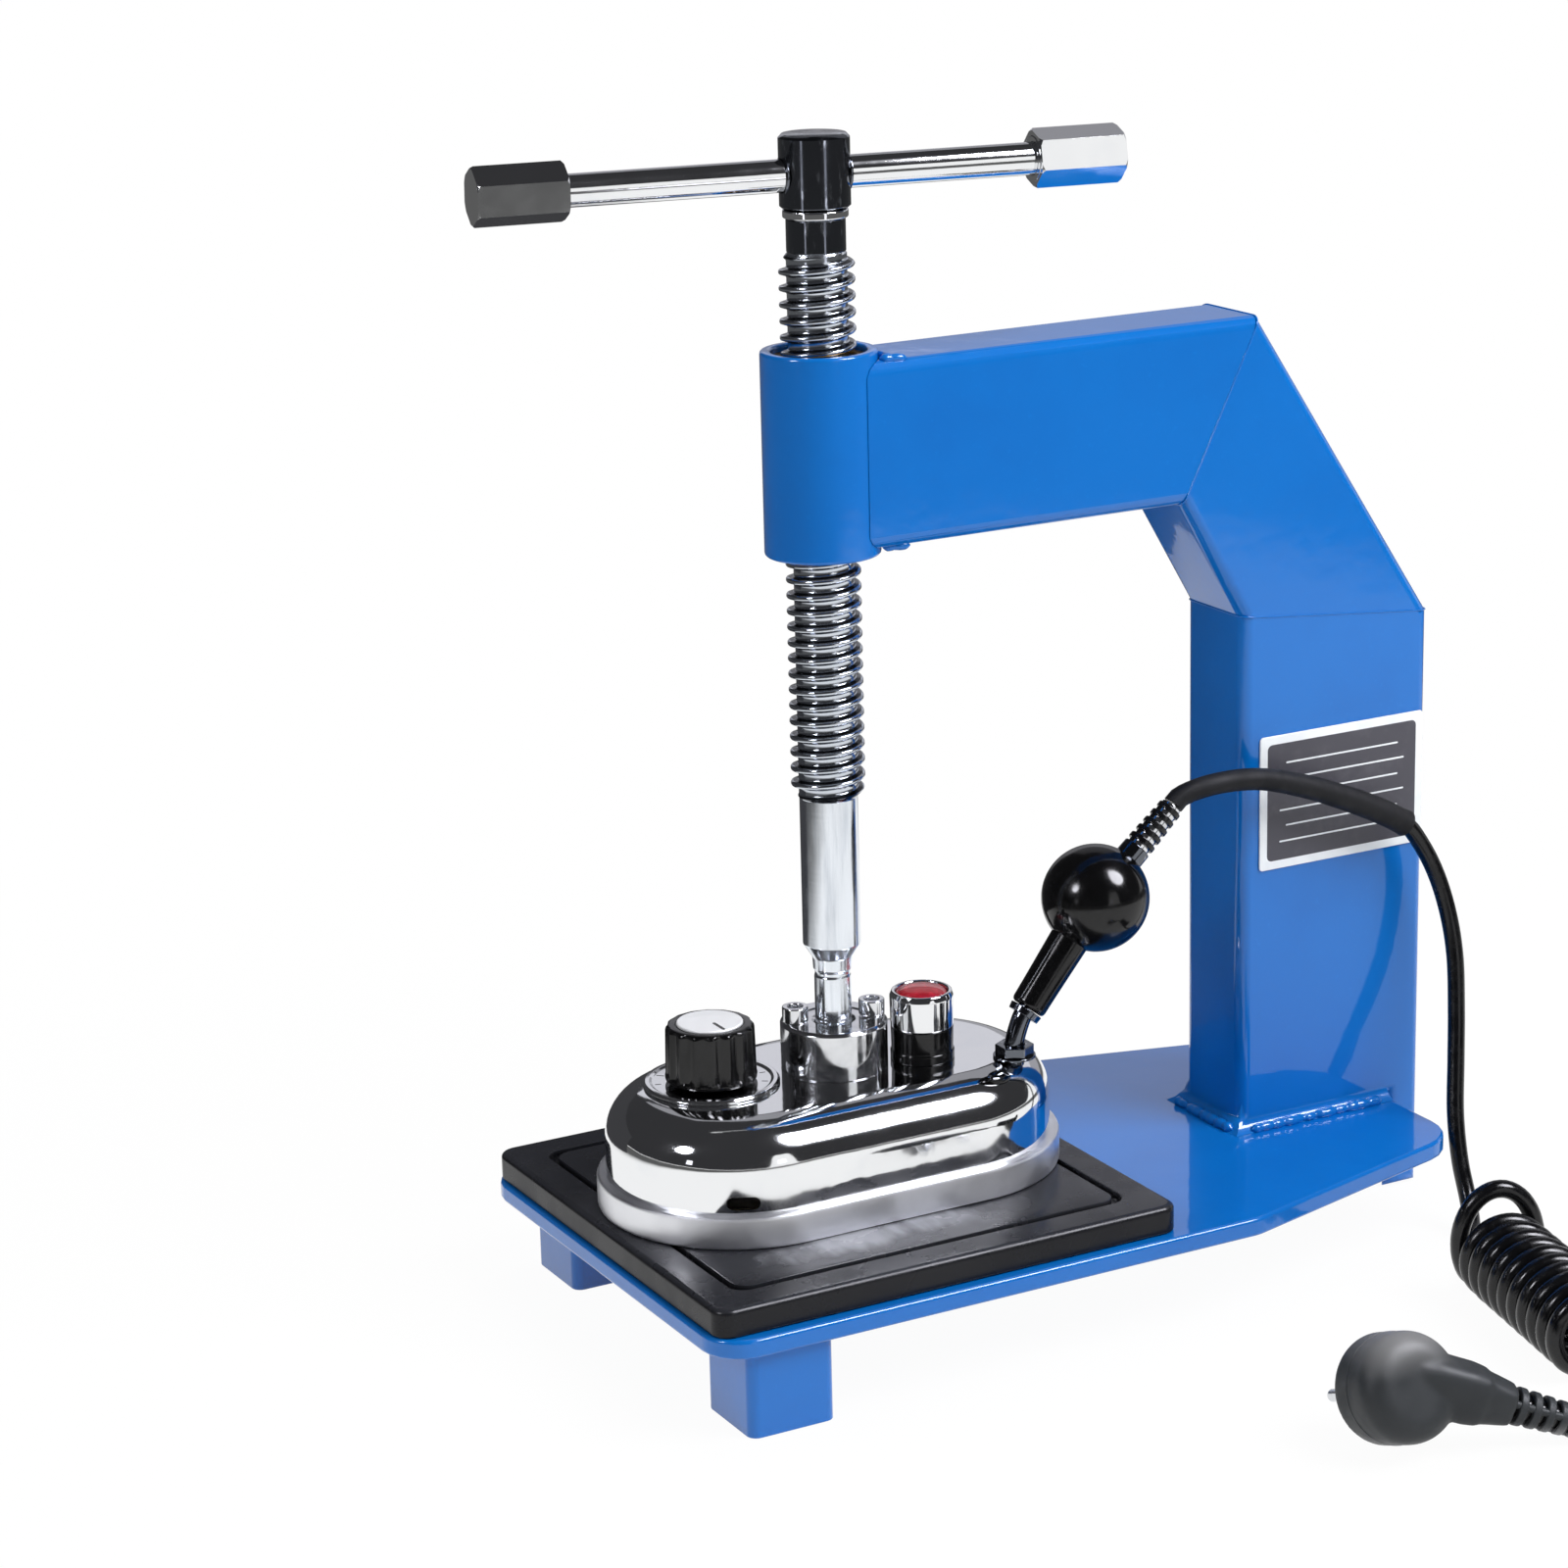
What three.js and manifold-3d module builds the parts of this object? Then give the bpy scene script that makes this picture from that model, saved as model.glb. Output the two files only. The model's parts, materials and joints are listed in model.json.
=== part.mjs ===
// Tire vulcanizer: a screw press that clamps an electric heater head on a rubber pad.
// Millimetres, +Z up. Every piece is drawn about the screw's axis, with z = 0 on the top of the base
// plate, +X towards the column and +Y away from the handle's side. At the end of the file the whole
// machine is stood on the floor, with the origin under its middle.

import * as THREE from "three";
import { mergeVertices } from "three/addons/utils/BufferGeometryUtils.js";
import Module from "manifold-3d";

const wasm = await Module();
wasm.setup();

// Gaps between pieces
const seatGap = 0.1;
const cutGap = 0.3;
const cutOverrun = 5;

// Facets
const fineSegments = 40;
const roundSegments = 28;
const smallSegments = 12;
const cornerSteps = 5;

// Base plate
const plateThickness = 7.3;
const plateWidth = 200;
const plateFront = 103;
const plateTaperStart = 128;
const plateRear = 245.5;
const plateRearWidth = 136;
const plateFrontRadius = 16;
const plateRearRadius = 22;

// Front feet, short pieces of square tube
const footSize = 35;
const footHeight = 32.9;
const footWall = 2.5;
const footRadius = 4;
const nearFootSetback = 30.5;
const nearFootInset = 21.5;
const farFootSetback = 35;
const farFootInset = 23.5;

// Bent frame, mitred from flat-sided tube
const frameWidth = 40;
const frameWall = 3;
const frameEdgeRadius = 5;
const columnFront = 173.5;
const columnDepth = 89.3;
const kneeInnerHeight = 211.5;
const kneeOuterHeight = 202.6;
const armBottom = 258.9;
const armHeight = 69.3;
const armInnerReach = 145.8;
const armOuterReach = 180.5;
const footWeldSize = 5.2;

// Screw boss and nut
const bossRadius = 21.6;
const bossBelowArm = 2.9;
const bossAboveArm = 3.8;
const bossChamfer = 1;
const nutRadius = 17.5;
const nutRecess = 2.5;
const nutClearance = 0.3;

// Rubber pad
const padLength = 196;
const padWidth = 190;
const padThickness = 10.9;
const padOffset = -3;
const padCornerRadius = 7;
const padEdgeRadius = 2.5;
const padLineInset = 14.5;
const padLineWidth = 2;
const padLineDepth = 1.2;

// Label plate on the column
const labelLength = 78.5;
const labelHeight = 54.5;
const labelThickness = 0.8;
const labelRadius = 1.5;
const labelRearInset = 2.8;
const labelBottom = 107.5;

// Heater plate, a stadium
const headOffset = -2.7;
const heaterLength = 187.5;
const heaterWidth = 108.6;
const heaterThickness = 12.4;
const heaterEdge = 1;

// Heating element and insulation inside the head
const elementRadius = 4;
const elementSpacing = 44;
const elementLength = 118;
const boardThickness = 3;
const boardClearance = 3;

// Drawn cover
const coverInset = 3.7;
const coverHeight = 32.4;
const coverShoulder = 18;
const coverWall = 1.5;
const ventLength = 12.5;
const ventHeight = 5;
const ventRise = 4.5;
const ventAngle = -116;

// Pressure post and swivel collar
const postRadius = 11;
const postFlangeRadius = 19;
const postFlangeThickness = 6;
const collarRadius = 20.5;
const collarHeight = 19;
const collarChamfer = 1.2;
const collarCavityRadius = 11.3;
const collarLip = 6;
const collarScrewCircle = 15;
const collarScrewAngle = -15;
const collarScrewRadius = 2.5;
const collarScrewHead = 5;
const collarScrewHeadHeight = 6;
const collarScrewReach = 4;
const thrustBallRadius = 4;

// Spindle
const threadRadius = 14;
const threadRise = 107;
const threadLength = 204;
const spindleShaftRadius = 11;
const spindleShaftLength = 57.6;
const spindleShaftChamfer = 5.4;
const pinRadius = 7;
const pinChamfer = 1;
const pinClearance = 0.3;
const spindleNeckRadius = 10.5;
const spindleNeckLength = 13;
const spigotRadius = 7;
const spigotLength = 7.5;
const ringRadius = 12;
const ringThickness = 3;
const hubRadius = 13;
const hubHeight = 27;
const hubChamfer = 1;
const hubAxisShare = 0.46;
const retainingRadius = 10.8;
const retainingThickness = 2.6;

// Tommy bar
const barRadius = 6;
const barLength = 245;
const barTurn = -9.8;
const barSlide = -4.6;
const barClearance = 0.3;
const capAcrossFlats = 19;
const capLength = 33.5;
const capWall = 9;
const capChamfer = 0.8;

// Control knob and what it turns
const knobX = -49.4;
const knobY = 7;
const knobRadius = 17.5;
const knobFluteDepth = 0.7;
const knobFlutes = 18;
const knobHeight = 21.5;
const knobLift = 2.6;
const knobEdge = 1.5;
const knobDiscRadius = 12;
const knobDiscThickness = 1;
const dialRingRadius = 26;
const dialRingThickness = 2;
const controlShaftRadius = 3;
const controlShaftHeight = 14;
const thermostatRadius = 14;
const thermostatHeight = 13;

// Pilot lamp
const lampX = 33;
const lampY = -10;
const lampRadius = 12.35;
const lampBodyHeight = 13;
const lampBezelHeight = 14;
const lampBezelWall = 2.4;
const lampNeckRadius = 8;
const lampNeckLength = 10;
const lensHeight = 9;
const lensDome = 3;

// Terminal block inside the head
const terminalX = 54;
const terminalY = 14;
const terminalLength = 24;
const terminalWidth = 14;
const terminalHeight = 12;

// Lifting handle that the cord runs through
const handleFoot = [62.6, -29];
const handleGripStart = [68.5, -29, 74.3];
const handleBallCentre = [99.6, -29, 113.3];
const handleReliefEnd = [135, -29, 144.5];
const handleStudRadius = 3.75;
const handleStudDepth = 9;
const handleNutAcrossFlats = 13;
const handleNutHeight = 5;
const gripRadius = 7.8;
const gripWaist = 7.2;
const gripFerrule = 4;
const gripSocketDepth = 5;
const ballRadius = 20.8;
const ballSocketDepth = 6;
const reliefRadius = 5.6;
const reliefEndRadius = 4.9;
const reliefGroove = 1.1;
const reliefRibs = 5;
const reliefSocketDepth = 5;

// Cord, with a thicker sleeve where it leaves the handle
const cordRadius = 3.5;
const sleeveRadius = 5;
const cordSides = 8;
const cordStep = 8;
const floorClearance = 0.3;
const sleeveRoute = [
  [148.8, -31, 150.3],
  [170.9, -32, 150],
  [194.2, -32, 143.5],
  [217.8, -32, 133.8],
  [233.6, -32, 126.1],
  [243.8, -32, 120.2],
];
const cordRoute = [
  [252, -32.6, 109.5],
  [257.8, -34.6, 97],
  [261.3, -38.2, 81],
  [262.1, -42, 64.5],
  [259.6, -47, 43.2],
  [255.6, -52.6, 24],
  [251, -59, 4],
  [248.4, -66, -13.5],
  [247, -73, -26],
  [243.5, -80.5, -33.5],
  [238, -88, -36],
];

// Wound coil of the cord on the floor
const coilStartX = 220.5;
const coilStartY = -111.5;
const coilHeading = -103;
const coilRadius = 15;
const coilEyeRise = 5.2;
const coilEyeTurns = 1.4;
const coilPitch = 8.3;
const coilTurns = 11;
const coilStepsPerTurn = 24;
const coilSides = 6;
const coilLeadAngle = 23;
const coilLeadSteps = 8;

// Cord's tail to the plug
const tailRoute = [
  [187.4, -249],
  [182.8, -252.8],
  [177, -254.2],
];

// Angled plug, which leans on the floor with its pins down and away from the machine's near side
const plugX = 102.3;
const plugY = -222.4;
const plugLean = 23;
const plugRadius = 20;
const plugDepth = 26;
const plugEdge = 9;
const plugPinHeading = 87.8;
const plugPinRadius = 2.4;
const plugPinLength = 19;
const plugPinSpacing = 19;
const plugPinSink = 5;
const plugArmHeading = -23.9;
const plugArmRise = 5;
const plugArmRadius = 10.8;
const plugArmShoulder = 32;
const plugArmEndRadius = 7.2;
const plugArmLength = 42;
const plugReliefRadius = 7;
const plugReliefEndRadius = 6;
const plugReliefLength = 26.5;
const plugReliefGroove = 1.6;
const plugReliefRibs = 5;

// Levels and places worked out from the sizes above
const floorLevel = -plateThickness - footHeight;
const columnRear = columnFront + columnDepth;
const armTop = armBottom + armHeight;
const bossBottom = armBottom - bossBelowArm;
const bossTop = armTop + bossAboveArm;
const padBottom = seatGap;
const padTop = padBottom + padThickness;
const heaterBottom = padTop + seatGap;
const heaterTop = heaterBottom + heaterThickness;
const elementLevel = heaterTop + seatGap + elementRadius;
const boardBottom = elementLevel + elementRadius + seatGap;
const boardTop = boardBottom + boardThickness;
const coverBottom = heaterTop + seatGap;
const coverTop = coverBottom + coverHeight;
const coverCeiling = coverTop - coverWall;
const collarBottom = coverTop + seatGap;
const collarTop = collarBottom + collarHeight;
const postTop = coverTop;
const ballLevel = postTop + seatGap + thrustBallRadius;
const pinBottom = ballLevel + thrustBallRadius + seatGap;
const retainingTop = collarTop - collarLip - cutGap;
const threadBottom = coverTop + threadRise;
const threadTop = threadBottom + threadLength;
const shaftBottom = threadBottom - spindleShaftLength;
const spindleTop = threadTop + spindleNeckLength;
const ringTop = spindleTop + seatGap + ringThickness;
const hubBottom = ringTop + seatGap;
const hubTop = hubBottom + hubHeight;
const barLevel = hubBottom + hubHeight * hubAxisShare;
const cordLevel = floorLevel + floorClearance + cordRadius;
const lampBodyTop = coverTop + seatGap + lampBodyHeight;
const lampBezelTop = lampBodyTop + seatGap + lampBezelHeight;

const paint = () => new THREE.MeshStandardMaterial({ color: 0x1a76d2, roughness: 0.3, metalness: 0 });
const chrome = () => new THREE.MeshStandardMaterial({ color: 0xd8dadc, roughness: 0.08, metalness: 1 });
const steel = () => new THREE.MeshStandardMaterial({ color: 0xa9acb0, roughness: 0.3, metalness: 1 });
const blackChrome = () => new THREE.MeshStandardMaterial({ color: 0x1b1d20, roughness: 0.15, metalness: 1 });
const aluminium = () => new THREE.MeshStandardMaterial({ color: 0xc4c7ca, roughness: 0.35, metalness: 1 });
const bronze = () => new THREE.MeshStandardMaterial({ color: 0xa8813f, roughness: 0.4, metalness: 1 });
const rubber = () => new THREE.MeshStandardMaterial({ color: 0x3c3c42, roughness: 0.5, metalness: 0 });
const blackPlastic = () => new THREE.MeshStandardMaterial({ color: 0x101113, roughness: 0.2, metalness: 0 });
const greyPlastic = () => new THREE.MeshStandardMaterial({ color: 0x55585c, roughness: 0.45, metalness: 0 });
const redLens = () => new THREE.MeshStandardMaterial({ color: 0xa01018, roughness: 0.15, metalness: 0 });
const board = () => new THREE.MeshStandardMaterial({ color: 0xb9ae96, roughness: 0.8, metalness: 0 });

// A closed geometry as a solid that can be cut and joined.
function solidOf(geometry) {
  const bare = geometry.clone();
  bare.deleteAttribute("normal");
  bare.deleteAttribute("uv");
  const merged = mergeVertices(bare, 1e-4);
  const position = merged.getAttribute("position");
  return new wasm.Manifold(
    new wasm.Mesh({
      numProp: 3,
      vertProperties: new Float32Array(position.array),
      triVerts: new Uint32Array(merged.index.array),
    }),
  );
}

function geometryOf(solid) {
  const made = solid.getMesh();
  const corners = new Float32Array(made.numVert * 3);
  for (let i = 0; i < made.numVert; i++) {
    for (let axis = 0; axis < 3; axis++) {
      corners[i * 3 + axis] = made.vertProperties[i * made.numProp + axis];
    }
  }
  const geometry = new THREE.BufferGeometry();
  geometry.setAttribute("position", new THREE.BufferAttribute(corners, 3));
  geometry.setIndex(new THREE.BufferAttribute(new Uint32Array(made.triVerts), 1));
  geometry.computeVertexNormals();
  return geometry;
}

function cut(geometry, ...tools) {
  return geometryOf(tools.reduce((solid, tool) => solid.subtract(solidOf(tool)), solidOf(geometry)));
}

function join(geometry, ...others) {
  return geometryOf(others.reduce((solid, other) => solid.add(solidOf(other)), solidOf(geometry)));
}

function common(geometry, ...others) {
  return geometryOf(others.reduce((solid, other) => solid.intersect(solidOf(other)), solidOf(geometry)));
}

// A turned piece about +Z from its half section [radius, height], listed counterclockwise.
function turned(section, segments = roundSegments) {
  const profile = section.map(([radius, height]) => new THREE.Vector2(radius, height));
  return new THREE.LatheGeometry(profile, segments).rotateX(Math.PI / 2);
}

// An upright cylinder between two levels.
function rod(radius, low, high, segments = roundSegments, x = 0, y = 0) {
  return turned([[0, low], [radius, low], [radius, high], [0, high]], segments).translate(x, y, 0);
}

// Turns a piece made along +Z so that it starts at one point and runs towards another.
function aimed(geometry, from, towards) {
  const start = new THREE.Vector3(...from);
  const way = new THREE.Vector3(...towards).sub(start).normalize();
  const turn = new THREE.Quaternion().setFromUnitVectors(new THREE.Vector3(0, 0, 1), way);
  return geometry.applyQuaternion(turn).translate(start.x, start.y, start.z);
}

// The points of a closed outline from its corners [x, y, radius], with each corner rounded.
function rounded(corners) {
  const points = [];
  corners.forEach(([x, y, radius], i) => {
    const corner = new THREE.Vector2(x, y);
    if (!radius) {
      points.push(corner);
      return;
    }
    const [beforeX, beforeY] = corners.at(i - 1);
    const [afterX, afterY] = corners[(i + 1) % corners.length];
    const back = new THREE.Vector2(beforeX - x, beforeY - y).normalize();
    const on = new THREE.Vector2(afterX - x, afterY - y).normalize();
    const angle = Math.acos(back.dot(on));
    const tangent = radius / Math.tan(angle / 2);
    const middle = back.clone().add(on).normalize().multiplyScalar(radius / Math.sin(angle / 2));
    const centre = corner.clone().add(middle);
    const start = corner.clone().addScaledVector(back, tangent).sub(centre);
    const end = corner.clone().addScaledVector(on, tangent).sub(centre);
    const sweep = Math.atan2(start.cross(end), start.dot(end));
    for (let step = 0; step <= cornerSteps; step++) {
      const spoke = start.clone().rotateAround(new THREE.Vector2(), (sweep * step) / cornerSteps);
      points.push(centre.clone().add(spoke));
    }
  });
  return points;
}

function rectangle(length, width, radius, x = 0, y = 0) {
  const halfLength = length / 2;
  const halfWidth = width / 2;
  return rounded([
    [x - halfLength, y - halfWidth, radius],
    [x + halfLength, y - halfWidth, radius],
    [x + halfLength, y + halfWidth, radius],
    [x - halfLength, y + halfWidth, radius],
  ]);
}

// A plan outline raised between two levels.
function raised(points, low, high) {
  const shape = new THREE.Shape(points);
  return new THREE.ExtrudeGeometry(shape, { depth: high - low, bevelEnabled: false }).translate(0, 0, low);
}

// A side view outline [x, z] run across the machine, with its edges rounded.
function across(points, width, edge = 0) {
  const shape = new THREE.Shape(points);
  const geometry = new THREE.ExtrudeGeometry(shape, {
    depth: width - edge * 2,
    bevelEnabled: edge > 0,
    bevelThickness: edge,
    bevelSize: edge,
    bevelOffset: -edge,
    bevelSegments: 3,
  });
  return geometry.translate(0, 0, edge - width / 2).rotateX(Math.PI / 2);
}

// A closed skin over rings of equal length, listed from the bottom up and each counterclockwise.
function lofted(rings) {
  const count = rings[0].length;
  const corners = rings.flat();
  const faces = [];
  for (let level = 0; level < rings.length - 1; level++) {
    for (let i = 0; i < count; i++) {
      const a = level * count + i;
      const b = level * count + ((i + 1) % count);
      faces.push(a, b, b + count, a, b + count, a + count);
    }
  }
  const caps = [[rings[0], 0, true], [rings.at(-1), (rings.length - 1) * count, false]];
  for (const [ring, first, down] of caps) {
    const middle = ring.reduce((sum, point) => sum.add(point), new THREE.Vector3()).divideScalar(count);
    corners.push(middle);
    for (let i = 0; i < count; i++) {
      const here = first + i;
      const next = first + ((i + 1) % count);
      faces.push(corners.length - 1, down ? next : here, down ? here : next);
    }
  }
  const geometry = new THREE.BufferGeometry().setFromPoints(corners);
  geometry.setIndex(faces);
  geometry.computeVertexNormals();
  return geometry;
}

// A stadium in plan about the head's middle, drawn in from the heater plate's size, at one level.
function headRing(inset, level) {
  const radius = heaterWidth / 2 - inset;
  const half = (heaterLength - heaterWidth) / 2;
  const ring = [];
  for (const [side, from] of [[1, -Math.PI / 2], [-1, Math.PI / 2]]) {
    for (let step = 0; step <= roundSegments / 2; step++) {
      const angle = from + (Math.PI * 2 * step) / roundSegments;
      const x = headOffset + side * half + radius * Math.cos(angle);
      ring.push(new THREE.Vector3(x, radius * Math.sin(angle), level));
    }
  }
  return ring;
}

// A solid tube of one thickness along a smooth route.
function tube(points, radius, sides, steps) {
  const section = new THREE.Shape();
  for (let i = 0; i < sides; i++) {
    const angle = (Math.PI * 2 * i) / sides;
    const corner = new THREE.Vector2(radius * Math.cos(angle), radius * Math.sin(angle));
    if (i === 0) section.moveTo(corner.x, corner.y);
    else section.lineTo(corner.x, corner.y);
  }
  const route = new THREE.CatmullRomCurve3(points, false, "centripetal");
  route.arcLengthDivisions = steps * 4;
  return new THREE.ExtrudeGeometry(section, { steps, bevelEnabled: false, extrudePath: route });
}

// The half section of a ribbed sleeve that tapers from one radius to another over its length.
function ribbed(radius, endRadius, length, ribs, groove, plain) {
  const section = [[0, 0], [radius, 0], [radius, plain]];
  const pitch = (length - plain) / ribs;
  for (let i = 0; i < ribs; i++) {
    const rib = THREE.MathUtils.lerp(radius, endRadius, (i + 1) / ribs);
    const low = plain + pitch * i;
    const ribStart = low + pitch / 2;
    section.push([rib - groove, low], [rib - groove, ribStart], [rib, ribStart], [rib, low + pitch]);
  }
  section.push([0, length]);
  return section;
}

const machine = new THREE.Group();
const cordPieces = new Set();

function add(name, geometry, material, parent = machine) {
  const mesh = new THREE.Mesh(geometry, material);
  mesh.name = name;
  parent.add(mesh);
  return mesh;
}

// Base plate, tapered to the rear
function basePlate() {
  const half = plateWidth / 2;
  const rearHalf = plateRearWidth / 2;
  const outline = rounded([
    [-plateFront, -half, plateFrontRadius],
    [plateTaperStart, -half, plateRearRadius],
    [plateRear, -rearHalf, plateRearRadius],
    [plateRear, rearHalf, plateRearRadius],
    [plateTaperStart, half, plateRearRadius],
    [-plateFront, half, plateFrontRadius],
  ]);
  return raised(outline, -plateThickness, 0);
}

// A front foot, open below
function frontFoot(x, y) {
  const inner = footSize - footWall * 2;
  const top = -plateThickness - seatGap;
  const outside = raised(rectangle(footSize, footSize, footRadius, x, y), floorLevel, top);
  const hollow = rectangle(inner, inner, footRadius - footWall, x, y);
  return cut(outside, raised(hollow, floorLevel - cutOverrun, top - footWall));
}

// The side view of the bent frame: column with its rear leg, knee and arm, out to the screw's axis
const frameOutline = [
  [columnFront, seatGap],
  [plateRear + cutGap, seatGap],
  [plateRear + cutGap, floorLevel],
  [columnRear, floorLevel],
  [columnRear, kneeOuterHeight],
  [armOuterReach, armTop],
  [0, armTop],
  [0, armBottom],
  [armInnerReach, armBottom],
  [columnFront, kneeInnerHeight],
].map(([x, z]) => new THREE.Vector2(x, z));

// The frame's inside, one wall in from its outline and open at the boss and at the foot
function frameHollow() {
  const count = frameOutline.length;
  const inner = frameOutline.map((corner, i) => {
    const before = corner.clone().sub(frameOutline.at(i - 1)).normalize();
    const after = frameOutline[(i + 1) % count].clone().sub(corner).normalize();
    const inward = new THREE.Vector2(-before.y - after.y, before.x + after.x).normalize();
    const cosine = inward.x * -before.y + inward.y * before.x;
    return corner.clone().addScaledVector(inward, frameWall / cosine);
  });
  const [footFront, legTop, legFoot, rearFoot] = inner;
  footFront.y = floorLevel - cutOverrun;
  rearFoot.y = floorLevel - cutOverrun;
  const points = inner.filter((corner) => corner !== legTop && corner !== legFoot);
  for (const corner of points) {
    if (corner.x <= frameWall) corner.x = -cutOverrun;
  }
  return across(points, frameWidth - frameWall * 2);
}

// Everything on the left of the line from one side view corner to another, short of it by half a seam
function leftOf(from, to) {
  const reach = armTop + footHeight;
  const along = to.clone().sub(from).normalize();
  const left = new THREE.Vector2(-along.y, along.x);
  const start = from.clone().addScaledVector(left, cutGap / 2).addScaledVector(along, -reach);
  const end = start.clone().addScaledVector(along, reach * 2 + from.distanceTo(to));
  const endLeft = end.clone().addScaledVector(left, reach);
  const startLeft = start.clone().addScaledVector(left, reach);
  return across([start, end, endLeft, startLeft], frameWidth + cutOverrun * 2);
}

// The fillet of weld round the column's foot, on the plate only
function footWeld() {
  const rear = plateRear - cutGap;
  const ring = (spread, level) =>
    [
      [columnFront - spread, -frameWidth / 2 - spread],
      [rear, -frameWidth / 2 - spread],
      [rear, frameWidth / 2 + spread],
      [columnFront - spread, frameWidth / 2 + spread],
    ].map(([x, y]) => new THREE.Vector3(x, y, level));
  const sunk = -frameWall / 2;
  return lofted([
    ring(footWeldSize, seatGap),
    ring(footWeldSize / 2, seatGap + footWeldSize / 3),
    ring(0, seatGap + footWeldSize),
    ring(sunk, seatGap + footWeldSize * 2),
  ]);
}

// The three tubes of the frame, cut apart at their mitres
function frameTubes() {
  const innerKnee = frameOutline.at(-1);
  const outerKnee = frameOutline[4];
  const innerBend = frameOutline.at(-2);
  const outerBend = frameOutline[5];
  const hollow = frameHollow();
  const bossSeat = rod(bossRadius + cutGap, bossBottom - cutOverrun, bossTop + cutOverrun, fineSegments);
  const bent = cut(across(frameOutline, frameWidth, frameEdgeRadius), hollow, bossSeat);
  const frontTop = new THREE.Vector2(columnFront - cutOverrun, armTop);
  const frontFoot = new THREE.Vector2(columnFront - cutOverrun, floorLevel);
  const column = common(bent, leftOf(outerKnee, innerKnee), leftOf(frontTop, frontFoot));
  return {
    column: join(column, cut(footWeld(), hollow)),
    knee: common(bent, leftOf(innerKnee, outerKnee), leftOf(outerBend, innerBend)),
    arm: common(bent, leftOf(innerBend, outerBend)),
  };
}

function screwBoss() {
  const bore = nutRadius + seatGap;
  return turned(
    [
      [bore, bossBottom],
      [bossRadius - bossChamfer, bossBottom],
      [bossRadius, bossBottom + bossChamfer],
      [bossRadius, bossTop - bossChamfer],
      [bossRadius - bossChamfer, bossTop],
      [bore, bossTop],
      [bore, bossBottom],
    ],
    fineSegments,
  );
}

function screwNut() {
  const bore = threadRadius + nutClearance;
  const low = bossBottom + nutRecess;
  const high = bossTop - nutRecess;
  return turned([[bore, low], [nutRadius, low], [nutRadius, high], [bore, high], [bore, low]]);
}

// The pad, with a rounded rim and an incised line
function rubberPad() {
  const ring = (inset, level) =>
    rectangle(padLength - inset * 2, padWidth - inset * 2, padCornerRadius - inset, padOffset).map(
      ({ x, y }) => new THREE.Vector3(x, y, level),
    );
  const rim = [0, 1, 2, 3].map((step) => {
    const angle = (Math.PI / 2) * (step / 3);
    return ring(padEdgeRadius * (1 - Math.cos(angle)), padTop - padEdgeRadius * (1 - Math.sin(angle)));
  });
  const body = lofted([ring(0, padBottom), ...rim]);
  const frame = (inset, overrun) =>
    raised(
      rectangle(padLength - inset * 2, padWidth - inset * 2, padCornerRadius, padOffset),
      padTop - padLineDepth - overrun,
      padTop + cutOverrun,
    );
  const line = cut(frame(padLineInset, 0), frame(padLineInset + padLineWidth, padLineDepth));
  return cut(body, line);
}

function labelPlate() {
  const outline = rectangle(labelLength, labelHeight, labelRadius);
  const middleX = columnRear - labelRearInset - labelLength / 2;
  return raised(outline, 0, labelThickness)
    .rotateX(Math.PI / 2)
    .translate(middleX, -frameWidth / 2 - seatGap, labelBottom + labelHeight / 2);
}

add("base_plate", basePlate(), paint());
const nearFootY = -plateWidth / 2 + nearFootInset;
const farFootY = plateWidth / 2 - farFootInset;
add("front_foot_near", frontFoot(nearFootSetback - plateFront, nearFootY), paint());
add("front_foot_far", frontFoot(farFootSetback - plateFront, farFootY), paint());
const tubes = frameTubes();
add("column_tube", tubes.column, paint());
add("knee_tube", tubes.knee, paint());
add("arm_tube", tubes.arm, paint());
add("screw_boss", screwBoss(), paint());
add("screw_nut", screwNut(), bronze());
add("rubber_pad", rubberPad(), rubber());
add("label_plate", labelPlate(), aluminium());

// Heater plate with a softened rim
function heaterPlate() {
  return lofted([
    headRing(heaterEdge, heaterBottom),
    headRing(0, heaterBottom + heaterEdge),
    headRing(0, heaterTop - heaterEdge),
    headRing(heaterEdge, heaterTop),
  ]);
}

// Hairpin heating element, bent round at the front
function heatingElement() {
  const half = elementSpacing / 2;
  const rear = headOffset + elementLength / 2;
  const bend = headOffset - elementLength / 2 + half;
  const route = [new THREE.Vector3(rear, -half, elementLevel)];
  for (let step = 0; step <= 8; step++) {
    const angle = -Math.PI / 2 - (Math.PI * step) / 8;
    route.push(new THREE.Vector3(bend + half * Math.cos(angle), half * Math.sin(angle), elementLevel));
  }
  route.push(new THREE.Vector3(rear, half, elementLevel));
  return tube(route, elementRadius, cordSides, 36);
}

function insulationBoard() {
  const inset = coverInset + coverWall + boardClearance;
  const disc = lofted([headRing(inset, boardBottom), headRing(inset, boardTop)]);
  return cut(disc, rod(postRadius + cutGap, boardBottom - cutOverrun, boardTop + cutOverrun));
}

// Post that carries the screw's force past the cover, with a flange that clamps the cover
function pressurePost() {
  const flangeTop = coverCeiling - seatGap;
  const post = turned([
    [0, heaterTop + seatGap],
    [postRadius, heaterTop + seatGap],
    [postRadius, flangeTop - postFlangeThickness],
    [postFlangeRadius, flangeTop - postFlangeThickness],
    [postFlangeRadius, flangeTop],
    [postRadius - seatGap, flangeTop],
    [postRadius - seatGap, postTop],
    [0, postTop],
  ]);
  return cut(post, ...collarScrewPlaces().map(([x, y]) => screwHole(x, y)));
}

function collarScrewPlaces() {
  const angle = THREE.MathUtils.degToRad(collarScrewAngle);
  const x = collarScrewCircle * Math.cos(angle);
  const y = collarScrewCircle * Math.sin(angle);
  return [[-x, -y], [x, y]];
}

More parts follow.
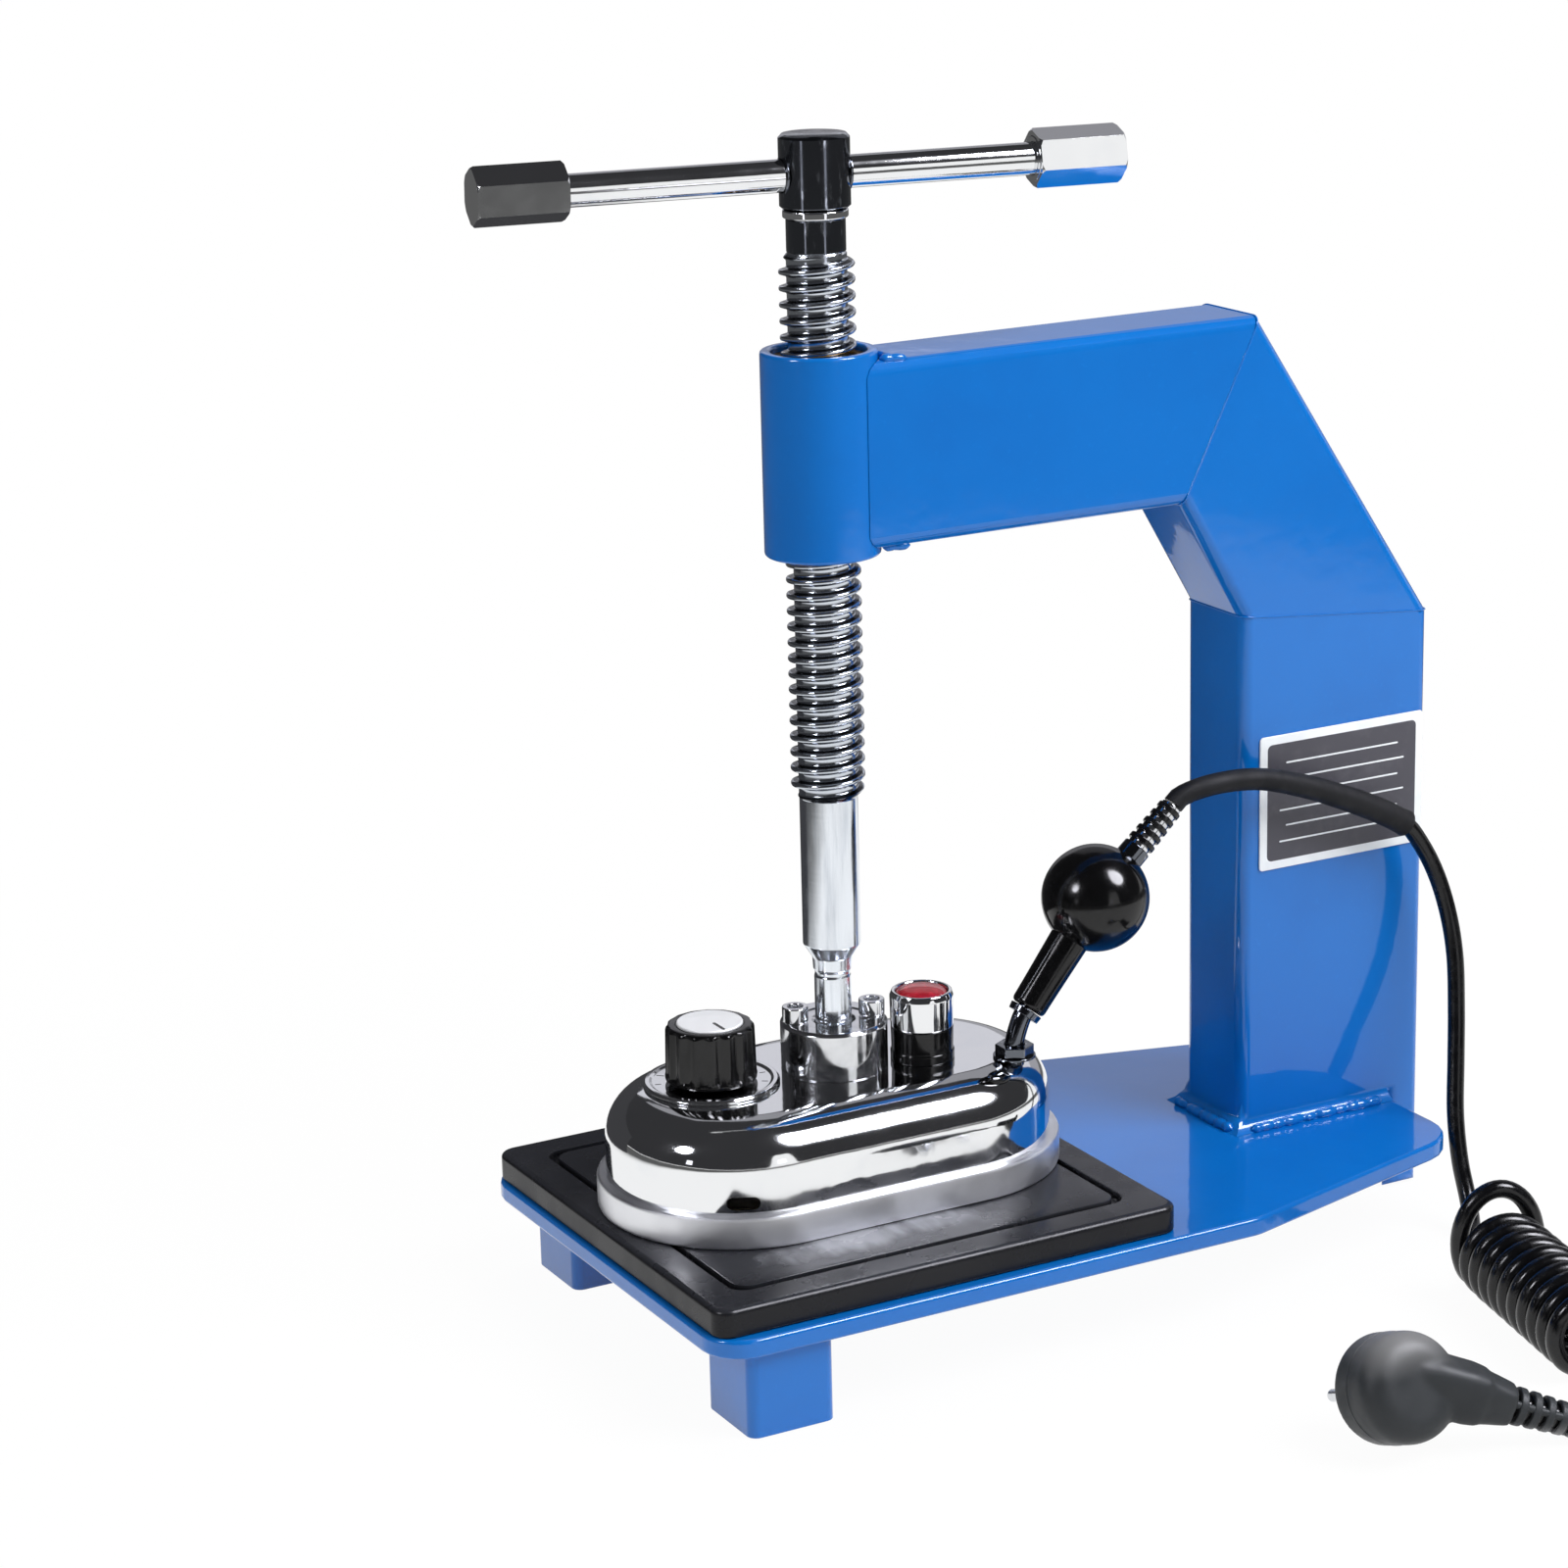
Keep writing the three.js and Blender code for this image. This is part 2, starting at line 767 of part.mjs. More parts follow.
function screwHole(x, y) {
  const low = coverCeiling - seatGap - collarScrewReach - seatGap;
  return rod(collarScrewRadius + seatGap, low, collarTop + cutOverrun, smallSegments, x, y);
}

// The cover's skin: an upright wall that turns over a round shoulder into a flat top
function coverSkin(wall, low) {
  const shoulder = coverShoulder - wall;
  const top = coverTop - wall;
  const rings = [headRing(coverInset + wall, low)];
  for (let step = 0; step <= 6; step++) {
    const angle = (Math.PI / 2) * (step / 6);
    const inset = coverInset + wall + shoulder * (1 - Math.cos(angle));
    rings.push(headRing(inset, top - shoulder * (1 - Math.sin(angle))));
  }
  return lofted(rings);
}

function headCover() {
  const through = (radius, x, y) =>
    rod(radius, coverCeiling - coverShoulder / 2, coverTop + cutOverrun, smallSegments, x, y);
  const shell = cut(coverSkin(0, coverBottom), coverSkin(coverWall, coverBottom - cutOverrun));
  const ventDepth = (coverWall + cutGap) * 2;
  const vent = raised(rectangle(ventLength, ventHeight, ventHeight / 2 - seatGap), 0, ventDepth);
  const angle = THREE.MathUtils.degToRad(ventAngle);
  const ventReach = heaterWidth / 2 - coverInset - ventDepth / 2;
  const ventX = headOffset - (heaterLength - heaterWidth) / 2 + ventReach * Math.cos(angle);
  const ventY = ventReach * Math.sin(angle);
  vent.rotateX(Math.PI / 2).rotateZ(angle + Math.PI / 2).translate(ventX, ventY, coverBottom + ventRise);
  return cut(
    shell,
    vent,
    rod(postRadius, coverCeiling - cutOverrun, coverTop + cutOverrun),
    through(controlShaftRadius + cutGap, knobX, knobY),
    through(lampNeckRadius + cutGap, lampX, lampY),
    through(handleStudRadius + cutGap, handleFoot[0], handleFoot[1]),
    ...collarScrewPlaces().map(([x, y]) => screwHole(x, y)),
  );
}

// Collar that holds the screw's pin over the ball
function swivelCollar() {
  const bore = pinRadius + pinClearance;
  const lipBottom = collarTop - collarLip;
  const ring = turned(
    [
      [collarCavityRadius, collarBottom],
      [collarRadius, collarBottom],
      [collarRadius, collarTop - collarChamfer],
      [collarRadius - collarChamfer, collarTop],
      [bore, collarTop],
      [bore, lipBottom],
      [collarCavityRadius, lipBottom],
      [collarCavityRadius, collarBottom],
    ],
    fineSegments,
  );
  return cut(ring, ...collarScrewPlaces().map(([x, y]) => screwHole(x, y)));
}

function collarScrew(x, y) {
  const headBottom = collarTop + seatGap;
  const low = coverCeiling - seatGap - collarScrewReach;
  return turned(
    [
      [0, low],
      [collarScrewRadius, low],
      [collarScrewRadius, headBottom],
      [collarScrewHead, headBottom],
      [collarScrewHead, headBottom + collarScrewHeadHeight],
      [0, headBottom + collarScrewHeadHeight],
    ],
    smallSegments,
  ).translate(x, y, 0);
}

function thermostat() {
  const high = coverCeiling - seatGap;
  return rod(thermostatRadius, high - thermostatHeight, high, roundSegments, knobX, knobY);
}

function dialRing() {
  const low = coverTop + seatGap;
  const high = low + dialRingThickness;
  const bore = controlShaftRadius + cutGap;
  const section = [
    [bore, low],
    [dialRingRadius, low],
    [dialRingRadius, high - dialRingThickness / 2],
    [dialRingRadius - dialRingThickness / 2, high],
    [bore, high],
    [bore, low],
  ];
  return turned(section, fineSegments).translate(knobX, knobY, 0);
}

function lampBody() {
  const low = coverTop + seatGap;
  const neck = low - lampNeckLength;
  return turned([
    [0, neck],
    [lampNeckRadius, neck],
    [lampNeckRadius, low],
    [lampRadius, low],
    [lampRadius, lampBodyTop],
    [0, lampBodyTop],
  ]).translate(lampX, lampY, 0);
}

function lampBezel() {
  const low = lampBodyTop + seatGap;
  const inner = lampRadius - lampBezelWall;
  const edge = lampBezelWall / 2;
  return turned([
    [inner, low],
    [lampRadius, low],
    [lampRadius, lampBezelTop - edge],
    [lampRadius - edge, lampBezelTop],
    [inner, lampBezelTop],
    [inner, low],
  ]).translate(lampX, lampY, 0);
}

// Lens that stands on the lamp's body inside the bezel and domes out of it
function lampLens() {
  const radius = lampRadius - lampBezelWall - seatGap;
  const low = lampBodyTop + seatGap;
  const high = lampBezelTop - lensDome / 2;
  const section = [[0, low], [radius, low], [radius, high - lensHeight], [radius, high]];
  for (let step = 1; step <= 4; step++) {
    const share = step / 4;
    section.push([radius * (1 - share), high + lensDome * Math.sin((Math.PI / 2) * share)]);
  }
  return turned(section).translate(lampX, lampY, 0);
}

function terminalBlock() {
  const outline = rectangle(terminalLength, terminalWidth, 0, terminalX, terminalY);
  return raised(outline, boardTop + seatGap, boardTop + seatGap + terminalHeight);
}

// Bent stud from inside the cover up to the grip
function handleStud() {
  const [footX, footY] = handleFoot;
  const start = new THREE.Vector3(...handleGripStart);
  const way = new THREE.Vector3(...handleBallCentre).sub(start).normalize();
  const nutTop = coverTop + seatGap + handleNutHeight;
  const route = [
    new THREE.Vector3(footX, footY, coverCeiling - handleStudDepth),
    new THREE.Vector3(footX, footY, coverTop),
    new THREE.Vector3(footX, footY, nutTop),
    start.clone().addScaledVector(way, -handleStudRadius),
    start.clone().addScaledVector(way, -seatGap),
  ];
  return tube(route, handleStudRadius, smallSegments, 12);
}

function studNut() {
  const radius = handleNutAcrossFlats / Math.sqrt(3);
  const low = coverTop + seatGap;
  const nut = rod(radius, low, low + handleNutHeight, 6, handleFoot[0], handleFoot[1]);
  const bore = rod(
    handleStudRadius + cutGap,
    low - cutOverrun,
    low + handleNutHeight + cutOverrun,
    smallSegments,
    handleFoot[0],
    handleFoot[1],
  );
  return cut(nut, bore);
}

// Distance along the handle from the grip's start to the ball's near side
const handleReach = new THREE.Vector3(...handleGripStart).distanceTo(new THREE.Vector3(...handleBallCentre));
const gripLength = handleReach - ballRadius + gripSocketDepth;

function handleGrip() {
  const section = [
    [0, 0],
    [gripRadius - gripFerrule / 4, 0],
    [gripRadius, gripFerrule / 4],
    [gripRadius, gripFerrule],
    [gripWaist, gripFerrule * 1.5],
    [gripRadius, gripLength],
    [0, gripLength],
  ];
  return aimed(turned(section), handleGripStart, handleBallCentre);
}

// Ball with sockets for the grip and for the strain relief
function handleBall() {
  const ball = new THREE.SphereGeometry(ballRadius, roundSegments, roundSegments / 2);
  ball.translate(...handleBallCentre);
  const gripSocket = rod(gripRadius + cutGap, gripLength + cutGap - ballRadius, gripLength + cutGap);
  const reliefSocket = rod(reliefRadius + cutGap, ballRadius - ballSocketDepth, ballRadius + cutOverrun);
  return cut(
    ball,
    aimed(gripSocket, handleGripStart, handleBallCentre),
    aimed(reliefSocket, handleBallCentre, handleReliefEnd),
  );
}

function strainRelief() {
  const centre = new THREE.Vector3(...handleBallCentre);
  const end = new THREE.Vector3(...handleReliefEnd);
  const start = ballRadius - reliefSocketDepth;
  const length = centre.distanceTo(end) - start;
  const section = ribbed(reliefRadius, reliefEndRadius, length, reliefRibs, reliefGroove, reliefSocketDepth);
  return aimed(turned(section, smallSegments).translate(0, 0, start), handleBallCentre, handleReliefEnd);
}

add("heater_plate", heaterPlate(), aluminium());
add("heating_element", heatingElement(), steel());
add("insulation_board", insulationBoard(), board());
add("pressure_post", pressurePost(), steel());
add("head_cover", headCover(), chrome());
add("swivel_collar", swivelCollar(), steel());
const [screwA, screwB] = collarScrewPlaces();
add("collar_screw_front", collarScrew(...screwA), steel());
add("collar_screw_rear", collarScrew(...screwB), steel());
const thrustBall = new THREE.SphereGeometry(thrustBallRadius, smallSegments, smallSegments / 2);
add("thrust_ball", thrustBall.translate(0, 0, ballLevel), steel());
add("thermostat", thermostat(), greyPlastic());
add("dial_ring", dialRing(), chrome());
add("lamp_body", lampBody(), blackPlastic());
add("lamp_bezel", lampBezel(), chrome());
add("lamp_lens", lampLens(), redLens());
add("terminal_block", terminalBlock(), greyPlastic());
add("handle_stud", handleStud(), steel());
add("stud_nut", studNut(), steel());
add("handle_grip", handleGrip(), blackPlastic());
add("handle_ball", handleBall(), blackPlastic());
add("strain_relief", strainRelief(), rubber());

// Spindle: pin, smooth shaft, thread, neck and spigot
function spindle() {
  const section = [
    [0, pinBottom],
    [pinRadius - pinChamfer, pinBottom],
    [pinRadius, pinBottom + pinChamfer],
    [pinRadius, shaftBottom - spindleShaftChamfer],
    [spindleShaftRadius, shaftBottom],
    [spindleShaftRadius, threadBottom],
    [threadRadius, threadBottom],
    [threadRadius, threadTop],
    [spindleNeckRadius, threadTop],
    [spindleNeckRadius, spindleTop],
    [spigotRadius, spindleTop],
    [spigotRadius, spindleTop + spigotLength],
    [0, spindleTop + spigotLength],
  ];
  return turned(section);
}

function hubRing() {
  const bore = spigotRadius + seatGap;
  const low = spindleTop + seatGap;
  return turned([[bore, low], [ringRadius, low], [ringRadius, ringTop], [bore, ringTop], [bore, low]]);
}

// Hub with a blind hole for the spigot and a cross hole for the bar
function spindleHub() {
  const body = turned([
    [0, hubBottom],
    [hubRadius, hubBottom],
    [hubRadius, hubTop - hubChamfer],
    [hubRadius - hubChamfer, hubTop],
    [0, hubTop],
  ]);
  const blind = rod(spigotRadius + seatGap, hubBottom - cutOverrun, spindleTop + spigotLength + seatGap);
  const crossHole = rod(barRadius + barClearance, -hubRadius - cutOverrun, hubRadius + cutOverrun);
  crossHole.rotateY(Math.PI / 2).rotateZ(THREE.MathUtils.degToRad(barTurn)).translate(0, 0, barLevel);
  return cut(body, blind, crossHole);
}

function retainingRing() {
  const bore = pinRadius + seatGap;
  const low = retainingTop - retainingThickness;
  return turned([
    [bore, low],
    [retainingRadius, low],
    [retainingRadius, retainingTop],
    [bore, retainingTop],
    [bore, low],
  ]);
}

add("spindle", spindle(), steel());
add("hub_ring", hubRing(), chrome());
add("spindle_hub", spindleHub(), blackChrome());
add("retaining_ring", retainingRing(), steel());

// Tommy bar and its caps, made along +X and then turned with the hub
const bar = new THREE.Group();
bar.position.set(0, 0, barLevel);
bar.rotation.z = THREE.MathUtils.degToRad(barTurn);
machine.add(bar);

function tommyBar() {
  const half = barLength / 2 - capWall;
  return rod(barRadius, -half, half).rotateY(Math.PI / 2).translate(barSlide, 0, 0);
}

// Hexagon cap with a blind hole, its closed end along +X
function barCap() {
  const radius = capAcrossFlats / Math.sqrt(3);
  const hexagon = rod(radius, 0, capLength, 6);
  const chamfered = turned([
    [0, 0],
    [radius - capChamfer, 0],
    [radius, capChamfer],
    [radius, capLength - capChamfer],
    [radius - capChamfer, capLength],
    [0, capLength],
  ]);
  const hole = rod(barRadius + seatGap, -cutOverrun, capLength - capWall + seatGap);
  return cut(common(hexagon, chamfered), hole).rotateY(Math.PI / 2);
}

add("tommy_bar", tommyBar(), chrome(), bar);
const capPlace = barLength / 2 - capLength;
add("bar_cap_right", barCap().translate(barSlide + capPlace, 0, 0), chrome(), bar);
add("bar_cap_left", barCap().rotateZ(Math.PI).translate(barSlide - capPlace, 0, 0), chrome(), bar);

// Fluted control knob with a blind hole for its shaft
function controlKnob() {
  const low = coverTop + knobLift;
  const high = low + knobHeight;
  const ring = (inset, level) => {
    const points = [];
    const count = knobFlutes * 4;
    for (let i = 0; i < count; i++) {
      const angle = (Math.PI * 2 * i) / count;
      const flute = knobFluteDepth * (0.5 - 0.5 * Math.cos(angle * knobFlutes));
      const radius = knobRadius - inset - flute;
      points.push(new THREE.Vector3(radius * Math.cos(angle), radius * Math.sin(angle), level));
    }
    return points;
  };
  const body = lofted([ring(0, low), ring(0, high - knobEdge), ring(knobEdge, high)]);
  const holeTop = controlShaftTop() + seatGap;
  const hole = rod(controlShaftRadius + seatGap, low - cutOverrun, holeTop, smallSegments);
  return cut(body, hole).translate(knobX, knobY, 0);
}

function controlShaftTop() {
  return coverTop + controlShaftHeight;
}

function controlShaft() {
  const low = coverCeiling - seatGap + cutGap;
  return rod(controlShaftRadius, low, controlShaftTop(), smallSegments, knobX, knobY);
}

function knobDisc() {
  const low = coverTop + knobLift + knobHeight + seatGap;
  return rod(knobDiscRadius, low, low + knobDiscThickness, roundSegments, knobX, knobY);
}

add("control_knob", controlKnob(), blackPlastic());
add("knob_disc", knobDisc(), aluminium());
add("thermostat_shaft", controlShaft(), steel());

// The coil's centre line. It comes along the floor, turns up into the winding, and leaves it at the
// floor again. The first turn is taller, which makes the open eye at the coil's head.
function coilRoute() {
  const heading = THREE.MathUtils.degToRad(coilHeading);
  const along = new THREE.Vector3(Math.cos(heading), Math.sin(heading), 0);
  const side = new THREE.Vector3(along.y, -along.x, 0);
  const woundAngle = Math.atan2(Math.PI * 2 * coilRadius, coilPitch);
  const leadAngle = THREE.MathUtils.degToRad(coilLeadAngle);
  const count = coilTurns * coilStepsPerTurn + coilLeadSteps;
  const slopes = [];
  for (let i = 0; i < count; i++) {
    const leadIn = THREE.MathUtils.smoothstep(i, 0, coilLeadSteps);
    const leadOut = THREE.MathUtils.smoothstep(count - 1 - i, 0, coilLeadSteps);
    slopes.push(THREE.MathUtils.lerp(leadAngle, woundAngle, leadIn) * leadOut);
  }
  const turning = slopes.reduce((sum, slope) => sum + Math.sin(slope), 0);
  const stepLength = (Math.PI * 2 * coilTurns * coilRadius) / turning;
  const start = new THREE.Vector3(coilStartX, coilStartY, cordLevel);
  const points = [start];
  let travelled = 0;
  let angle = 0;
  for (const slope of slopes) {
    travelled += stepLength * Math.cos(slope);
    angle += (stepLength * Math.sin(slope)) / coilRadius;
    const eye = 1 - THREE.MathUtils.smoothstep(angle, Math.PI, Math.PI * 2 * coilEyeTurns);
    const height = coilRadius + coilEyeRise * eye;
    const point = start.clone().addScaledVector(along, travelled);
    point.addScaledVector(side, coilRadius * Math.sin(angle));
    point.z += height * (1 - Math.cos(angle));
    points.push(point);
  }
  const arriving = along.clone().multiplyScalar(Math.cos(leadAngle));
  arriving.addScaledVector(side, Math.sin(leadAngle));
  return { points, arriving, leaving: along };
}

// The least gap between one part of a wound tube and another, on the points of its centre line
function leastGap(points, radius, skip) {
  let least = Infinity;
  for (let i = 0; i < points.length; i++) {
    for (let j = i + skip; j < points.length; j++) {
      least = Math.min(least, points[i].distanceTo(points[j]));
    }
  }
  return least - radius * 2;
}

const coil = coilRoute();
const coilGap = leastGap(coil.points, cordRadius, coilStepsPerTurn / 2);
console.log(`least gap of the coil to itself: ${coilGap.toFixed(2)} mm`);

// The free cord: a sleeve from the handle's strain relief, then the bare cord down to the coil
function freeCord() {
  const reliefEnd = new THREE.Vector3(...handleReliefEnd);
  const way = reliefEnd.clone().sub(new THREE.Vector3(...handleBallCentre)).normalize();
  const start = reliefEnd.clone().addScaledVector(way, cutGap);
  const places = (route) => route.map((point) => new THREE.Vector3(...point));
  const sleeve = [start, start.clone().addScaledVector(way, cordRadius), ...places(sleeveRoute)];
  const [coilStart] = coil.points;
  const bare = [...sleeve.slice(-2), ...places(cordRoute)];
  bare.push(coilStart.clone().addScaledVector(coil.arriving, -cordRadius * 2));
  bare.push(coilStart.clone().addScaledVector(coil.arriving, -cutGap));
  return join(routeTube(sleeve, sleeveRadius), routeTube(bare, cordRadius));
}

function routeTube(points, radius) {
  const length = new THREE.CatmullRomCurve3(points, false, "centripetal").getLength();
  return tube(points, radius, cordSides, Math.ceil(length / cordStep));
}

const pinWay = THREE.MathUtils.degToRad(plugPinHeading);
const pinLean = THREE.MathUtils.degToRad(plugLean);
const armWay = THREE.MathUtils.degToRad(plugArmHeading);
// The lower edge of the plug's face stands on the floor.
const plugRise = plugRadius * Math.cos(pinLean) + (plugDepth / 2) * Math.sin(pinLean);
const plugCentre = [plugX, plugY, floorLevel + floorClearance + plugRise];
const plugArmStart = [plugX, plugY, plugCentre[2] + plugArmRise];
// The arm drops to the floor as it leaves the plug's body.
const plugReach = plugArmLength + plugReliefLength;
const plugDrop = plugRise + plugArmRise - plugReliefEndRadius;
const plugFlat = Math.sqrt(plugReach ** 2 - plugDrop ** 2);
const plugReliefEnd = [
  plugX + plugFlat * Math.cos(armWay),
  plugY + plugFlat * Math.sin(armWay),
  plugArmStart[2] - plugDrop,
];

// A piece made along +Z, turned to point along the plug's pins
function alongPins(geometry) {
  return geometry.rotateY(Math.PI / 2 + pinLean).rotateZ(pinWay).translate(...plugCentre);
}

function plugBody() {
  const half = plugDepth / 2;
  const section = [[0, -half]];
  for (let step = 0; step <= 4; step++) {
    const angle = (Math.PI / 2) * (step / 4);
    section.push([plugRadius - plugEdge * (1 - Math.sin(angle)), plugEdge * (1 - Math.cos(angle)) - half]);
  }
  section.push([plugRadius, half - cutGap * 2], [plugRadius - cutGap * 2, half], [0, half]);
  const arm = turned([
    [0, 0],
    [plugArmRadius, 0],
    [plugArmRadius, plugArmShoulder - plugArmRadius],
    [(plugArmRadius + plugArmEndRadius) / 2, plugArmShoulder],
    [plugArmEndRadius, plugArmLength - cutGap],
    [0, plugArmLength - cutGap],
  ]);
  const body = join(alongPins(turned(section)), aimed(arm, plugArmStart, plugReliefEnd));
  const sink = half - plugPinSink - seatGap;
  const holes = [-1, 1].map((side) =>
    alongPins(plugPinRod(side, plugPinRadius + seatGap, sink, half + cutOverrun)),
  );
  return cut(body, ...holes);
}

function plugPinRod(side, radius, low, high) {
  return rod(radius, low, high, smallSegments, 0, (side * plugPinSpacing) / 2);
}

// One plug pin, sunk in the body
function plugPin(side) {
  const half = plugDepth / 2;
  return alongPins(plugPinRod(side, plugPinRadius, half - plugPinSink, half + plugPinLength));
}

function plugRelief() {
  const section = ribbed(
    plugReliefRadius,
    plugReliefEndRadius,
    plugReliefLength,
    plugReliefRibs,
    plugReliefGroove,
    plugReliefGroove,
  );
  const sleeve = turned(section, smallSegments).translate(0, 0, plugArmLength);
  return aimed(sleeve, plugArmStart, plugReliefEnd);
}

function cordTail() {
  const coilEnd = coil.points.at(-1);
  const reliefEnd = new THREE.Vector3(...plugReliefEnd);
  const outward = reliefEnd.clone().sub(new THREE.Vector3(...plugArmStart)).normalize();
  const route = [
    coilEnd.clone().addScaledVector(coil.leaving, cutGap),
    coilEnd.clone().addScaledVector(coil.leaving, cordRadius * 2),
    ...tailRoute.map(([x, y]) => new THREE.Vector3(x, y, cordLevel)),
    reliefEnd.clone().addScaledVector(outward, cordRadius * 2),
    reliefEnd.clone().addScaledVector(outward, cutGap),
  ];
  return routeTube(route, cordRadius);
}

const coilTube = tube(coil.points, cordRadius, coilSides, coil.points.length - 1);
for (const mesh of [
  add("cord", freeCord(), rubber()),
  add("cord_coil", coilTube, rubber()),
  add("cord_tail", cordTail(), rubber()),
  add("plug_body", plugBody(), greyPlastic()),
  add("plug_pin_left", plugPin(-1), steel()),
  add("plug_pin_right", plugPin(1), steel()),
  add("plug_relief", plugRelief(), greyPlastic()),
]) {
  cordPieces.add(mesh);
}

// Stand the machine on the floor with the origin under the middle of everything but the cord.
machine.updateMatrixWorld(true);
const extent = new THREE.Box3();
machine.traverse((mesh) => {
  if (mesh.isMesh && !cordPieces.has(mesh)) extent.expandByObject(mesh, true);
});
const middle = extent.getCenter(new THREE.Vector3());
machine.position.set(-middle.x, -middle.y, -extent.min.z);

export default machine;
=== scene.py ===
# Looks of the tire vulcanizer: camera, light, materials and the visible surface of every piece.
# Lengths in this script are millimetres about the screw's axis, with z = 0 on the plate's top, as in
# the model's source. The function at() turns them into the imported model's frame in metres.

import json
import math
import random

import bmesh
import bpy
from mathutils import Matrix, Vector

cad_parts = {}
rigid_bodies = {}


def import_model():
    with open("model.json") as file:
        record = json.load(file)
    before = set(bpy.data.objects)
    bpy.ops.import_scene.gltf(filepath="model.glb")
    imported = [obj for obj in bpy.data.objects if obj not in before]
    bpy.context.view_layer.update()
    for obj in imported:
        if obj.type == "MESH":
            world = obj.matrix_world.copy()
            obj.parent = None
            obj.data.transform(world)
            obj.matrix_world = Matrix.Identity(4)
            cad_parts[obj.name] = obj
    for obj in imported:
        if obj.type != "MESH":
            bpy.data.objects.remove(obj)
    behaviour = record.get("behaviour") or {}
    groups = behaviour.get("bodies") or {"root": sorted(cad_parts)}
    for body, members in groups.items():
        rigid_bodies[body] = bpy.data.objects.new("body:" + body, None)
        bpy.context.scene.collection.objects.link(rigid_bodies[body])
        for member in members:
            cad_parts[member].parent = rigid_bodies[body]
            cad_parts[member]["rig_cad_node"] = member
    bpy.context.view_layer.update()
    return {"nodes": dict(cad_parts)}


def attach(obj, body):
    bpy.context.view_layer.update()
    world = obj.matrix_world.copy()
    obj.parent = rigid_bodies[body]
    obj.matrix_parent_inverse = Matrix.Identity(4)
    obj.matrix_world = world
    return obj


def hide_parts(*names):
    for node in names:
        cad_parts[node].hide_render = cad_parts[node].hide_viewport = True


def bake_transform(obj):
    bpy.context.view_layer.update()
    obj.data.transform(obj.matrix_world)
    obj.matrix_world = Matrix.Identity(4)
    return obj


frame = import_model()

# Where the screw's axis meets the plate's top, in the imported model's frame
SHIFT = Vector((-68.014, 0.0, 40.2))

# Frame
FRAME_WIDTH = 40
ARM_BOTTOM = 258.9
ARM_TOP = 328.2
BOSS_INNER = 17.6
BOSS_RADIUS = 21.6
BOSS_BOTTOM = 256.0
BOSS_TOP = 332.0
LABEL_LENGTH = 78.5
LABEL_HEIGHT = 54.5
LABEL_MIDDLE = Vector((220.75, -20.1, 134.75))

# Pad
PAD_LENGTH = 196
PAD_WIDTH = 190
PAD_OFFSET = -3
PAD_EDGE = 2.5
PAD_RADIUS = 7.0
PAD_TOP = 11.0

# Head
HEAD_OFFSET = -2.7
HEAD_RADIUS = 54.3
HEAD_HALF = 39.45
HEATER_BOTTOM = 11.1
HEATER_TOP = 23.5
COVER_INSET = 3.7
COVER_WALL = 1.5
COVER_SHOULDER = 18
COVER_BOTTOM = 23.6
COVER_TOP = 56.0
COVER_SEAT = 56.1
COLLAR_BOTTOM = 56.1
COLLAR_TOP = 75.1
SCREW_SEAT = 75.2
LAMP_PLACE = Vector((33, -10, 0))
LENS_RADIUS = 9.85
KNOB_PLACE = Vector((-49.4, 7, 0))

# Handle
STUD_FOOT = Vector((62.6, -29, 0))
STUD_RADIUS = 3.75
HANDLE_START = Vector((68.5, -29, 74.3))
BALL_CENTRE = Vector((99.6, -29, 113.3))
BALL_RADIUS = 20.8
RELIEF_END = Vector((135, -29, 144.5))

# Screw and bar
PIN_BOTTOM = 64.2
SHAFT_BOTTOM = 105.4
THREAD_BOTTOM = 163.0
THREAD_TOP = 367.0
THREAD_PITCH = 6.0
THREAD_CREST = 13.95
THREAD_ROOT = 11.1
SPINDLE_TOP = 380.0
HUB_RADIUS = 13
HUB_BOTTOM = 383.2
HUB_TOP = 410.2
BAR_LEVEL = 395.62
BAR_TURN = math.radians(-9.8)
BAR_SLIDE = -4.6
BAR_RADIUS = 6
BAR_HALF = 122.45
CAP_LENGTH = 33.5
CAP_WALL = 9
CAP_RADIUS = 19 / math.sqrt(3)

# Cord, from the handle's strain relief over the floor to the plug
CORD_LEVEL = -36.4
CORD_RADIUS = 3.5
SLEEVE_ROUTE = [
    (148.8, -31, 150.3), (170.9, -32, 150), (194.2, -32, 143.5), (217.8, -32, 133.8),
    (233.6, -32, 126.1), (243.8, -32, 120.2),
]
CORD_ROUTE = [
    (252, -32.6, 109.5), (257.8, -34.6, 97), (261.3, -38.2, 81), (262.1, -42, 64.5),
    (259.6, -47, 43.2), (255.6, -52.6, 24), (251, -59, 4), (248.4, -66, -13.5),
    (247, -73, -26), (243.5, -80.5, -33.5), (238, -88, -36),
]
TAIL_ROUTE = [(187.4, -249), (182.8, -252.8), (177, -254.2)]
TAIL_LIMIT = -257
COIL_START = Vector((220.5, -111.5, CORD_LEVEL))
COIL_HEADING = -103
COIL_RADIUS = 15
COIL_EYE_RISE = 5.2
COIL_EYE_TURNS = 1.4
COIL_PITCH = 8.3
COIL_TURNS = 11
COIL_STEPS = 24
COIL_LEAD_ANGLE = 23
COIL_LEAD_STEPS = 8

# Plug
PLUG_LEAN = 23
PLUG_PIN_HEADING = 87.8
PLUG_PIN_REACH = 9.5
PLUG_RADIUS = 20
PLUG_HALF = 13
PLUG_EDGE = 9
PLUG_CENTRE = Vector((102.3, -222.4, -16.41))
PLUG_ARM_START = PLUG_CENTRE + Vector((0, 0, 5))
PLUG_ARM_HEADING = -23.9
PLUG_ARM_LENGTH = 42
PLUG_REACH = 68.5
PLUG_RELIEF_LEVEL = -33.9

